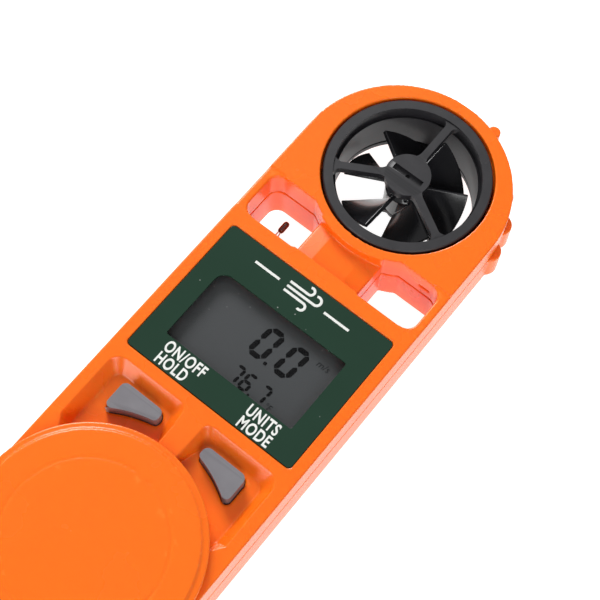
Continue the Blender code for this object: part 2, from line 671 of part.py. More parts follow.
def make_cartridge():
    """Duct with the front spider moulded in one with it."""
    back, front = CARTRIDGE_BACK_Z, FACE_Z
    profile = [(MOUTH_RADIUS, front), (CARTRIDGE_RADIUS - 0.2, front), (CARTRIDGE_RADIUS, front - 0.2),
               (CARTRIDGE_RADIUS, back), (14.9, back), (14.9, back + 1.7), (DUCT_RADIUS, back + 2.5),
               (DUCT_RADIUS, front - 2.6), (MOUTH_RADIUS, front - 2.9)]
    duct = turned("cartridge_housing", 0, IMPELLER_Y, profile, CARTRIDGE, steps=44)
    spider = spider_mesh("front_spider", MOUTH_RADIUS + 0.4, HUB_RADIUS, front - 1.9, front - 0.3)
    boss = cylinder("front_boss", 0, IMPELLER_Y, 3.1, front - 3.4, front - 1.5, CARTRIDGE, CUTTERS)
    slot = block("cut_hub_slot", -3.3, IMPELLER_Y - 0.65, front - 1.0, 3.3, IMPELLER_Y + 0.65,
                 front + 1, CARTRIDGE, CUTTERS)
    seat = hole("front_jewel", 0, IMPELLER_Y, 1.2 + GAP, front - 5, front - 1.9, 20, CARTRIDGE)
    paint(smooth(cut(join(duct, spider, boss), slot, seat)), CHARCOAL, 0.4)
    rear = cylinder("cartridge_rear_spider", 0, IMPELLER_Y, 3.4, back, back + 1.9, CARTRIDGE)
    band = turned("rear_band", 0, IMPELLER_Y, [(14.0, back + 1.4), (14.6, back + 1.4), (14.6, back),
                                               (14.0, back)], CARTRIDGE, CUTTERS, 40)
    arms = spider_mesh("rear_spider", 14.3, 3.0, back + 0.1, back + 1.3, REAR_SPOKE_TURN)
    seat = hole("rear_jewel", 0, IMPELLER_Y, 1.2 + GAP, back + 0.7, back + 5, 20, CARTRIDGE)
    paint(smooth(cut(join(rear, arms, band), seat)), CHARCOAL, 0.4)
    for name, low, high in (("jewel_front", front - 3.3, front - 2.2),
                            ("jewel_rear", back + 1.0, back + 1.8)):
        jewel = cylinder(name, 0, IMPELLER_Y, 1.2, low, high, CARTRIDGE, MODEL, 16)
        paint(jewel, (0.5, 0.02, 0.06), 0.1)


def spider_mesh(name, reach, hub, z0, z1, turn=0):
    """Hub disc and three arms, flared where they meet the ring."""
    outline = []
    half = SPOKE_WIDTH / 2
    for angle in [spoke + turn for spoke in SPOKE_ANGLES]:
        a = math.radians(angle)
        ux, uy = math.cos(a), math.sin(a)
        stations = [(hub - 0.3, -half - 0.5), (hub + 0.9, -half), (reach - 1.9, -half),
                    (reach, -half - 1.4), (reach, half + 1.4), (reach - 1.9, half),
                    (hub + 0.9, half), (hub - 0.3, half + 0.5)]
        outline += [(r * ux - w * uy, IMPELLER_Y + r * uy + w * ux) for r, w in stations]
        clear = math.degrees(math.atan2(half + 0.5, hub - 0.3)) + 2
        outline += arc(0, IMPELLER_Y, hub, angle + clear, angle + 120 - clear, 8)
    return prism(name, [outline], z0, z1, CARTRIDGE, CUTTERS)


def blade_mesh(name, phase):
    """Helical blade: a flat grid bent round the axis, sweeping as it goes back."""
    mesh = bpy.data.meshes.new(name)
    work = bmesh.new()
    bmesh.ops.create_grid(work, x_segments=3, y_segments=6, size=0.5)
    for vert in work.verts:
        across, along = vert.co.x + 0.5, vert.co.y + 0.5
        radius = BLADE_ROOT + (BLADE_TIP - BLADE_ROOT) * across
        angle = math.radians(phase + BLADE_SWEEP * along)
        z = BLADE_FRONT_Z + (BLADE_BACK_Z - BLADE_FRONT_Z) * along
        vert.co = (radius * math.cos(angle) * MM, radius * math.sin(angle) * MM, z * MM)
    bmesh.ops.translate(work, verts=work.verts, vec=(0, IMPELLER_Y * MM, 0))
    work.to_mesh(mesh)
    work.free()
    blade = settle(add_mesh(name, mesh, CUTTERS), IMPELLER_AXIS)
    skin = blade.modifiers.new("skin", "SOLIDIFY")
    skin.thickness = 0.8 * MM
    skin.offset = 0
    return blade


def make_rotor():
    rotor = cylinder("impeller_rotor", 0, IMPELLER_Y, 3.9, BLADE_BACK_Z - 0.1, BLADE_FRONT_Z - 0.6,
                     IMPELLER_AXIS, MODEL, 36)
    for i in range(BLADE_COUNT):
        join(rotor, blade_mesh("blade_%d" % i, BLADE_FRONT_ANGLE + 60 * i))
    bore = hole("rotor_bore", 0, IMPELLER_Y, 0.6 + GAP, 0, 20, 16, IMPELLER_AXIS)
    pocket = hole("magnet_pocket", 0, IMPELLER_Y, 2.6 + GAP, 0, BLADE_BACK_Z + 2.7, 24, IMPELLER_AXIS)
    paint(smooth(cut(rotor, bore, pocket)), (0.012, 0.012, 0.014), 0.18)
    magnet = turned("rotor_magnet", 0, IMPELLER_Y, [(2.6, 8.4), (2.6, 6.2), (0.9, 6.2), (0.9, 8.4)],
                    IMPELLER_AXIS, steps=24)
    paint(magnet, (0.08, 0.08, 0.085), 0.4, 0.8)
    shaft = turned_solid("rotor_shaft", 0, IMPELLER_Y,
                         [(0, 13.4), (0.6, 12.8), (0.6, 6.0), (0, 5.4)],
                         IMPELLER_AXIS, steps=12)
    paint(shaft, STEEL, 0.2, 1.0)


# ---------------------------------------------------------------- sheath

def plate_outline():
    top = arc(0, PIVOT_Y, BODY_HALF_WIDTH, 180, 0, RIM_STEPS)
    right = rounded([(BODY_HALF_WIDTH, PIVOT_Y - 2), (SHEATH_OUT, PIVOT_Y - 8, 8),
                     (SHEATH_OUT, LOW_Y, SHEATH_CORNER), (0, LOW_Y)], 5)
    left = -180 + math.degrees(math.acos(BODY_HALF_WIDTH / SHEATH_OUT))
    return top + right + arc(0, SHEATH_END_Y, SHEATH_OUT, -90, left, 12)[1:]


def spine_outline():
    corner = rounded([(SHEATH_OUT, PIVOT_Y - 10), (SHEATH_OUT, LOW_Y, SHEATH_CORNER), (0, LOW_Y)], 5)
    return corner + arc(0, SHEATH_END_Y, SHEATH_IN, -90, 0, 14) + [(SHEATH_IN, PIVOT_Y - 10)]


def sheath_half(name, plate_z, spine_z, hub_z):
    half = bevel(prism(name, [plate_outline()], *plate_z, SHEATH_HINGE), 0.6, 1)
    spine = prism(name + "_spine", [spine_outline()], *spine_z, SHEATH_HINGE, CUTTERS)
    hub = cylinder(name + "_hub", 0, PIVOT_Y, HUB_OUT, *hub_z, SHEATH_HINGE, CUTTERS, 36)
    a = math.radians(-45)
    lanyard = hole(name + "_lanyard", LANYARD_REACH * math.cos(a),
                   SHEATH_END_Y + LANYARD_REACH * math.sin(a), LANYARD_RADIUS, -1, 20, 16,
                   SHEATH_HINGE)
    return cut(join(half, spine, hub), lanyard)


def sheath_screw_places():
    places = [math.radians(a) for a in (-25, -65)]
    return [(24.3 * math.cos(a), SHEATH_END_Y + 24.3 * math.sin(a)) for a in places]


def make_sheath():
    low, high = SHEATH_SPLIT_Z - GAP / 2, SHEATH_SPLIT_Z + GAP / 2
    front = sheath_half("sheath_front", (TOP_Z - PLATE, TOP_Z), (high, TOP_Z - 1), (high, TOP_Z - 1))
    rear = sheath_half("sheath_rear", (0, PLATE), (1, low), (1, low))
    ledge = turned("cut_disc_step", 0, PIVOT_Y, [(14.7, TOP_Z + 1), (15.1, TOP_Z + 1),
                                                 (15.1, TOP_Z - 0.35), (14.7, TOP_Z - 0.35)],
                   SHEATH_HINGE, CUTTERS, 40)
    cut(front, ledge, hole("pivot_pilot", 0, PIVOT_Y, 1.6 + GAP, 0, 14.5, 20, SHEATH_HINGE))
    cut(rear, hole("pivot_clearance", 0, PIVOT_Y, 1.6 + GAP, 0, 12, 20, SHEATH_HINGE),
        hole("pivot_head", 0, PIVOT_Y, 3.0 + GAP, -1, 2.3, 28, SHEATH_HINGE))
    screw = cylinder("pivot_screw", 0, PIVOT_Y, 3.0, 0.4, 2.0, SHEATH_HINGE, MODEL, 28)
    join(screw, cylinder("pivot_shank", 0, PIVOT_Y, 1.6, 1.5, 14.0, SHEATH_HINGE, CUTTERS, 16))
    cut(screw, block("cut_pivot_drive", -2.2, PIVOT_Y - 0.4, 0, 2.2, PIVOT_Y + 0.4, 1.1,
                     SHEATH_HINGE, CUTTERS))
    paint(screw, STEEL, 0.3, 1.0)
    for i, (x, y) in enumerate(sheath_screw_places(), 1):
        tag = "sheath_screw_%d" % i
        cut(front, hole(tag + "_pilot", x, y, 0.8 + GAP, 9, 15.5, 12, SHEATH_HINGE))
        cut(rear, hole(tag + "_clearance", x, y, 0.8 + GAP, 0, 12, 12, SHEATH_HINGE),
            hole(tag + "_seat", x, y, 1.5 + GAP, -1, 1.9, 16, SHEATH_HINGE))
        small = cylinder(tag, x, y, 1.5, 0.3, 1.6, SHEATH_HINGE, MODEL, 16)
        join(small, cylinder(tag + "_shank", x, y, 0.8, 1.2, 15.0, SHEATH_HINGE, CUTTERS, 12))
        paint(small, STEEL, 0.3, 1.0)
    for half in (front, rear):
        paint(smooth(half), ORANGE, 0.35)
    for name, low in (("pivot_washer_front", FACE_Z - 0.7), ("pivot_washer_rear", BACK_Z)):
        washer = turned(name, 0, PIVOT_Y, [(10.6, low + 0.7), (10.6, low), (7.5, low), (7.5, low + 0.7)],
                        steps=32)
        paint(washer, (0.85, 0.84, 0.80), 0.4)


# ---------------------------------------------------------------- build

make_front_shell()
make_rear_shell()
make_seal()
for number, (screw_x, screw_y) in enumerate(SCREWS, 1):
    make_case_screw(number, screw_x, screw_y)
make_display()
make_board()
make_keypad()
make_keys()
make_cell()
make_battery_cap()
make_sensors()
make_cartridge()
make_rotor()
make_sheath()
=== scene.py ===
import math

import bmesh
import bpy
from mathutils import Matrix, Vector


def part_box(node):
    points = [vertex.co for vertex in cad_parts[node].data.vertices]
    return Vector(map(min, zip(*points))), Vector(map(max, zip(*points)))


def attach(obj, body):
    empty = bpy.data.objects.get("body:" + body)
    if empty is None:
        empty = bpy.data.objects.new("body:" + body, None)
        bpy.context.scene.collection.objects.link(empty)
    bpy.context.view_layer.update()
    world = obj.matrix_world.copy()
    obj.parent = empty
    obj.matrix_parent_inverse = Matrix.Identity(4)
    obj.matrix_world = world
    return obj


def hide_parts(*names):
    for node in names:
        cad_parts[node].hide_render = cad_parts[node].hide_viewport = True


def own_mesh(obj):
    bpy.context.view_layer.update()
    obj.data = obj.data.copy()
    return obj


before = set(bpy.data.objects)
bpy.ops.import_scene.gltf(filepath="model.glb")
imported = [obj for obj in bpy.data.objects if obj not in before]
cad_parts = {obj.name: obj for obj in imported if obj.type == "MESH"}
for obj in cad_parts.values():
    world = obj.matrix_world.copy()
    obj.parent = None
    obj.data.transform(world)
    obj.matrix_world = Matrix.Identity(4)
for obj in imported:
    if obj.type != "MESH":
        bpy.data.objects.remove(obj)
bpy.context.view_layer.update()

mm = 0.001

# Everything below is laid out in millimetres from the middle of the display panel, with z from
# the surface that the meter lies on. The frame says where that is.
panelLow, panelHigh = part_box("faceplate")
panelSpot = (panelLow + panelHigh) / 2


def middleOf(node):
    low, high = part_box(node)
    spot = (low + high) / 2
    return (spot.x - panelSpot.x) / mm, (spot.y - panelSpot.y) / mm, spot.z / mm


def reachOf(node):
    low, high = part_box(node)
    return [((c.x - panelSpot.x) / mm, (c.y - panelSpot.y) / mm, c.z / mm) for c in (low, high)]


pivotY = middleOf("pivot_screw")[1]
impellerY = middleOf("rotor_shaft")[1]
shellLow, shellHigh = reachOf("front_shell")
rearLow, rearHigh = reachOf("rear_shell")
bodyHalf = -shellLow[0]
faceZ = shellHigh[2]
backZ = rearLow[2]
headY = rearHigh[1] - bodyHalf
sheathLow, sheathHigh = reachOf("sheath_front")
sheathOut = sheathHigh[0]
topZ = sheathHigh[2]
sheathEndY = sheathLow[1] + sheathOut
ductLow, ductHigh = reachOf("cartridge_housing")
ductOut = ductHigh[0]


# Outlines, as lists of (x, y).

def arcPoints(cx, cy, radius, start, end, steps):
    turns = [math.radians(start + (end - start) * i / steps) for i in range(steps + 1)]
    return [(cx + radius * math.cos(t), cy + radius * math.sin(t)) for t in turns]


def circlePoints(cx, cy, radius, steps):
    return arcPoints(cx, cy, radius, 0, 360, steps)[:-1]


def mirrorPoints(points):
    return [(-x, y) for x, y in reversed(points)]


def softCorners(points, steps=8):
    # corners are (x, y) or (x, y, radius), and a radius becomes an arc that meets both sides
    outline = []
    for i, corner in enumerate(points):
        x, y = corner[:2]
        radius = corner[2] if len(corner) > 2 else 0
        if not radius:
            outline.append((x, y))
            continue
        here = Vector((x, y))
        back = (Vector(points[i - 1][:2]) - here).normalized()
        ahead = (Vector(points[(i + 1) % len(points)][:2]) - here).normalized()
        half = back.angle(ahead) / 2
        centre = here + (back + ahead).normalized() * radius / math.sin(half)
        first = here + back * radius / math.tan(half) - centre
        last = here + ahead * radius / math.tan(half) - centre
        start = math.atan2(first.y, first.x)
        turn = (math.atan2(last.y, last.x) - start + math.pi) % math.tau - math.pi
        for k in range(steps + 1):
            t = start + turn * k / steps
            outline.append((centre.x + radius * math.cos(t), centre.y + radius * math.sin(t)))
    return outline


def softBox(x0, y0, x1, y1, radius, steps=8):
    return softCorners([(x0, y0, radius), (x1, y0, radius), (x1, y1, radius), (x0, y1, radius)], steps)


# Mesh making.

def addPiece(name, mesh):
    piece = bpy.data.objects.new(name, mesh)
    bpy.context.scene.collection.objects.link(piece)
    return piece


def bake(piece):
    # keep the shape that the modifiers give, and drop the modifiers
    mesh = bpy.data.meshes.new_from_object(piece.evaluated_get(bpy.context.evaluated_depsgraph_get()))
    mesh.transform(piece.matrix_world)
    name = piece.name
    bpy.data.objects.remove(piece, do_unlink=True)
    mesh.name = name
    return addPiece(name, mesh)


def raised(name, loops, z0, z1):
    curve = bpy.data.curves.new(name, "CURVE")
    curve.dimensions = "2D"
    curve.fill_mode = "BOTH"
    curve.extrude = (z1 - z0) / 2 * mm
    for loop in loops:
        spline = curve.splines.new("POLY")
        spline.points.add(len(loop) - 1)
        for point, (x, y) in zip(spline.points, loop):
            point.co = (x * mm, y * mm, 0, 1)
        spline.use_cyclic_u = True
    draft = addPiece(name, curve)
    draft.location = (panelSpot.x, panelSpot.y, (z0 + z1) / 2 * mm)
    bpy.context.view_layer.update()
    piece = bake(draft)
    work = bmesh.new()
    work.from_mesh(piece.data)
    bmesh.ops.remove_doubles(work, verts=work.verts, dist=0.000002)
    bmesh.ops.recalc_face_normals(work, faces=work.faces)
    work.to_mesh(piece.data)
    work.free()
    return piece


def turned(name, cx, cy, profile, steps=96):
    # profile of (radius, z), outer side from top to bottom, open where it starts and ends on the axis
    mesh = bpy.data.meshes.new(name)
    work = bmesh.new()
    verts = [work.verts.new((r * mm, 0, z * mm)) for r, z in profile]
    for a, b in zip(verts, verts[1:] + (verts[:1] if profile[0][0] else [])):
        work.edges.new((a, b))
    work.to_mesh(mesh)
    work.free()
    piece = addPiece(name, mesh)
    piece.location = (panelSpot.x + cx * mm, panelSpot.y + cy * mm, 0)
    screw = piece.modifiers.new("turn", "SCREW")
    screw.angle = math.tau
    screw.steps = screw.render_steps = steps
    screw.use_merge_vertices = True
    screw.merge_threshold = 0.000001
    bpy.context.view_layer.update()
    return bake(piece)


def post(name, cx, cy, radius, z0, z1, steps=64):
    return raised(name, [circlePoints(cx, cy, radius, steps)], z0, z1)


def brick(name, x0, y0, z0, x1, y1, z1):
    return raised(name, [[(x0, y0), (x1, y0), (x1, y1), (x0, y1)]], z0, z1)


def carve(piece, *tools, mode="DIFFERENCE"):
    for tool in tools:
        step = piece.modifiers.new(mode.lower(), "BOOLEAN")
        step.operation = mode
        step.solver = "MANIFOLD"
        step.object = tool
    bpy.context.view_layer.update()
    done = bake(piece)
    for tool in tools:
        bpy.data.objects.remove(tool, do_unlink=True)
    return done


def roundEdges(piece, width, steps=4, angle=40):
    edge = piece.modifiers.new("round", "BEVEL")
    edge.width = width * mm
    edge.segments = steps
    edge.limit_method = "ANGLE"
    edge.angle_limit = math.radians(angle)
    edge.harden_normals = False
    return bake(piece)


def soften(piece, voxel=0.22, passes=4, keep=0.12):
    # moulded look: remesh finely, relax the edges, then thin out the flats
    mesher = piece.modifiers.new("remesh", "REMESH")
    mesher.mode = "VOXEL"
    mesher.voxel_size = voxel * mm
    mesher.adaptivity = 0
    relax = piece.modifiers.new("relax", "SMOOTH")
    relax.factor = 0.5
    relax.iterations = passes
    thin = piece.modifiers.new("thin", "DECIMATE")
    thin.ratio = keep
    piece = bake(piece)
    return smoothShade(piece, 60)


def smoothShade(piece, angle=35):
    piece.data.shade_smooth()
    piece.data.set_sharp_from_angle(angle=math.radians(angle))
    even = piece.modifiers.new("weighted", "WEIGHTED_NORMAL")
    even.keep_sharp = True
    return bake(piece)


def wire(name, points, radius, sides=6):
    curve = bpy.data.curves.new(name, "CURVE")
    curve.dimensions = "3D"
    curve.bevel_depth = radius * mm
    curve.bevel_resolution = sides
    curve.use_fill_caps = True
    spline = curve.splines.new("NURBS")
    spline.points.add(len(points) - 1)
    for point, (x, y, z) in zip(spline.points, points):
        point.co = (panelSpot.x + x * mm, panelSpot.y + y * mm, z * mm, 1)
    spline.use_endpoint_u = True
    spline.order_u = 3
    spline.resolution_u = 8
    return bake(addPiece(name, curve))


def give(piece, body, slotName, material, *nodes):
    piece.data.materials.clear()
    piece.data.materials.append(material)
    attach(piece, body)
    if nodes:
        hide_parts(*nodes)
    return piece


# Shader groups that several finishes share.

def newGroup(name, inputs, outputs):
    group = bpy.data.node_groups.new(name, "ShaderNodeTree")
    for label, kind, value in inputs:
        socket = group.interface.new_socket(label, in_out="INPUT", socket_type=kind)
        if value is not None:
            socket.default_value = value
    for label, kind in outputs:
        group.interface.new_socket(label, in_out="OUTPUT", socket_type=kind)
    return group, group.nodes.new("NodeGroupInput"), group.nodes.new("NodeGroupOutput")


def addNode(tree, kind, sockets=None, **values):
    node = tree.nodes.new(kind)
    for key, value in values.items():
        setattr(node, key, value)
    for socket, value in (sockets or {}).items():
        node.inputs[socket].default_value = value
    return node


def joinNodes(tree, *rows):
    # each row is a node and its output, then the node and input that it feeds
    for source, output, target, socket in rows:
        tree.links.new(source.outputs[output], target.inputs[socket])


def makeGrainGroup():
    # fine moulded texture: a height for the Bump node and a roughness that varies a little
    group, inside, out = newGroup(
        "mouldedGrain",
        [("Scale", "NodeSocketFloat", 1800.0), ("Height", "NodeSocketFloat", 1.0),
         ("Roughness", "NodeSocketFloat", 0.4), ("Spread", "NodeSocketFloat", 0.1)],
        [("Height", "NodeSocketFloat"), ("Roughness", "NodeSocketFloat")])
    coords = addNode(group, "ShaderNodeTexCoord")
    fine = addNode(group, "ShaderNodeTexNoise", {"Detail": 3})
    broad = addNode(group, "ShaderNodeTexNoise", {"Scale": 60, "Detail": 4})
    lift = addNode(group, "ShaderNodeMath", operation="MULTIPLY")
    shift = addNode(group, "ShaderNodeMath", {1: 0.5}, operation="SUBTRACT")
    spread = addNode(group, "ShaderNodeMath", operation="MULTIPLY_ADD")
    joinNodes(group,
              (coords, "Object", fine, "Vector"), (coords, "Object", broad, "Vector"),
              (inside, "Scale", fine, "Scale"), (fine, "Fac", lift, 0), (inside, "Height", lift, 1),
              (broad, "Fac", shift, 0), (shift, 0, spread, 0), (inside, "Spread", spread, 1),
              (inside, "Roughness", spread, 2), (lift, 0, out, "Height"), (spread, 0, out, "Roughness"))
    return group


def makeDustGroup():
    # sparse pale specks of dust on a colour
    group, inside, out = newGroup(
        "dustSpecks",
        [("Color", "NodeSocketColor", (0.5, 0.5, 0.5, 1)), ("Dust", "NodeSocketColor", (0.7, 0.7, 0.68, 1)),
         ("Scale", "NodeSocketFloat", 900.0), ("Amount", "NodeSocketFloat", 0.5)],
        [("Color", "NodeSocketColor")])
    coords = addNode(group, "ShaderNodeTexCoord")
    cells = addNode(group, "ShaderNodeTexVoronoi")
    size = addNode(group, "ShaderNodeMapRange",
                   {"From Min": 0.05, "From Max": 0.12, "To Min": 1, "To Max": 0})
    rare = addNode(group, "ShaderNodeMath", {1: 0.93}, operation="GREATER_THAN")
    split = addNode(group, "ShaderNodeSeparateColor")
    both = addNode(group, "ShaderNodeMath", operation="MULTIPLY")
    amount = addNode(group, "ShaderNodeMath", operation="MULTIPLY")
    mix = addNode(group, "ShaderNodeMix", data_type="RGBA")
    joinNodes(group,
              (coords, "Object", cells, "Vector"), (inside, "Scale", cells, "Scale"),
              (cells, "Distance", size, "Value"), (cells, "Color", split, "Color"),
              (split, "Red", rare, 0), (size, "Result", both, 0), (rare, 0, both, 1),
              (both, 0, amount, 0), (inside, "Amount", amount, 1), (amount, 0, mix, "Factor"),
              (inside, "Color", mix, "A"), (inside, "Dust", mix, "B"), (mix, "Result", out, "Color"))
    return group


def makeTintGroup():
    # slow change of a colour over the piece: a second tint mixed in by a cloud noise
    group, inside, out = newGroup(
        "tintDrift",
        [("Color", "NodeSocketColor", (0.5, 0.5, 0.5, 1)), ("Other", "NodeSocketColor", (0.5, 0.5, 0.5, 1)),
         ("Scale", "NodeSocketFloat", 40.0), ("Amount", "NodeSocketFloat", 0.5)],
        [("Color", "NodeSocketColor")])
    coords = addNode(group, "ShaderNodeTexCoord")
    clouds = addNode(group, "ShaderNodeTexNoise", {"Detail": 5})
    ramp = addNode(group, "ShaderNodeMapRange", {"From Min": 0.35, "From Max": 0.7})
    amount = addNode(group, "ShaderNodeMath", operation="MULTIPLY")
    mix = addNode(group, "ShaderNodeMix", data_type="RGBA")
    joinNodes(group,
              (coords, "Object", clouds, "Vector"), (inside, "Scale", clouds, "Scale"),
              (clouds, "Fac", ramp, "Value"), (ramp, "Result", amount, 0),
              (inside, "Amount", amount, 1), (amount, 0, mix, "Factor"), (inside, "Color", mix, "A"),
              (inside, "Other", mix, "B"), (mix, "Result", out, "Color"))
    return group


def makeEdgeHighlightGroup():
    # paler rims on convex edges, a painted highlight: picked out by the curvature of the mesh and broken up
    # by noise
    group, inside, out = newGroup(
        "edgePaintedHighlight",
        [("Color", "NodeSocketColor", (0.5, 0.5, 0.5, 1)), ("PaintedHighlight", "NodeSocketColor", (0.8, 0.8, 0.8, 1)),
         ("Amount", "NodeSocketFloat", 0.3)],
        [("Color", "NodeSocketColor")])
    shape = addNode(group, "ShaderNodeNewGeometry")
    rim = addNode(group, "ShaderNodeMapRange", {"From Min": 0.52, "From Max": 0.62})
    patch = addNode(group, "ShaderNodeTexNoise", {"Scale": 350, "Detail": 4})
    coords = addNode(group, "ShaderNodeTexCoord")
    broken = addNode(group, "ShaderNodeMath", operation="MULTIPLY")
    amount = addNode(group, "ShaderNodeMath", operation="MULTIPLY")
    mix = addNode(group, "ShaderNodeMix", data_type="RGBA")
    joinNodes(group,
              (shape, "Pointiness", rim, "Value"), (coords, "Object", patch, "Vector"),
              (rim, "Result", broken, 0), (patch, "Fac", broken, 1), (broken, 0, amount, 0),
              (inside, "Amount", amount, 1), (amount, 0, mix, "Factor"), (inside, "Color", mix, "A"),
              (inside, "PaintedHighlight", mix, "B"), (mix, "Result", out, "Color"))
    return group


grainGroup = makeGrainGroup()
dustGroup = makeDustGroup()
tintGroup = makeTintGroup()
edgeHighlightGroup = makeEdgeHighlightGroup()
print("shader groups made")


# Finishes. Each look below becomes one material.

grainDepth = 0.03  # millimetres, the same for every finish


def makePaint(name, look):
    # one Principled material from a dictionary: base colours, grain, painted edge highlight, dust and plain
    # sockets
    material = bpy.data.materials.new(name)
    material.use_nodes = True
    tree = material.node_tree
    shader = tree.nodes["Principled BSDF"]
    for socket, value in look.get("sockets", {}).items():
        shader.inputs[socket].default_value = value
    tint = addNode(tree, "ShaderNodeGroup", node_tree=tintGroup)
    tint.inputs["Color"].default_value = (*look["color"], 1)
    tint.inputs["Other"].default_value = (*look.get("drift", look["color"]), 1)
    tint.inputs["Scale"].default_value = look.get("driftScale", 40)
    tint.inputs["Amount"].default_value = look.get("driftAmount", 0.5)
    colour = tint.outputs["Color"]
    # painted highlight: convex edges get a paler colour, as where light catches them
    if "paintedHighlight" in look:
        edgeHighlight = addNode(tree, "ShaderNodeGroup", node_tree=edgeHighlightGroup)
        tree.links.new(colour, edgeHighlight.inputs["Color"])
        edgeHighlight.inputs["PaintedHighlight"].default_value = (*look["paintedHighlight"], 1)
        edgeHighlight.inputs["Amount"].default_value = look.get("paintedHighlightAmount", 0.3)
        colour = edgeHighlight.outputs["Color"]
    if "dust" in look:
        dust = addNode(tree, "ShaderNodeGroup", node_tree=dustGroup)
        tree.links.new(colour, dust.inputs["Color"])
        dust.inputs["Scale"].default_value = look.get("dustScale", 900)
        dust.inputs["Amount"].default_value = look["dust"]
        colour = dust.outputs["Color"]
    tree.links.new(colour, shader.inputs["Base Color"])
    grain = addNode(tree, "ShaderNodeGroup", node_tree=grainGroup)
    grain.inputs["Scale"].default_value = look.get("grainScale", 1800)
    grain.inputs["Roughness"].default_value = look.get("roughness", 0.4)
    grain.inputs["Spread"].default_value = look.get("roughSpread", 0.12)
    tree.links.new(grain.outputs["Roughness"], shader.inputs["Roughness"])
    bump = addNode(tree, "ShaderNodeBump")
    bump.inputs["Strength"].default_value = look.get("bump", 0.2)
    bump.inputs["Distance"].default_value = grainDepth * mm
    tree.links.new(grain.outputs["Height"], bump.inputs["Height"])
    tree.links.new(bump.outputs["Normal"], shader.inputs["Normal"])
    return material
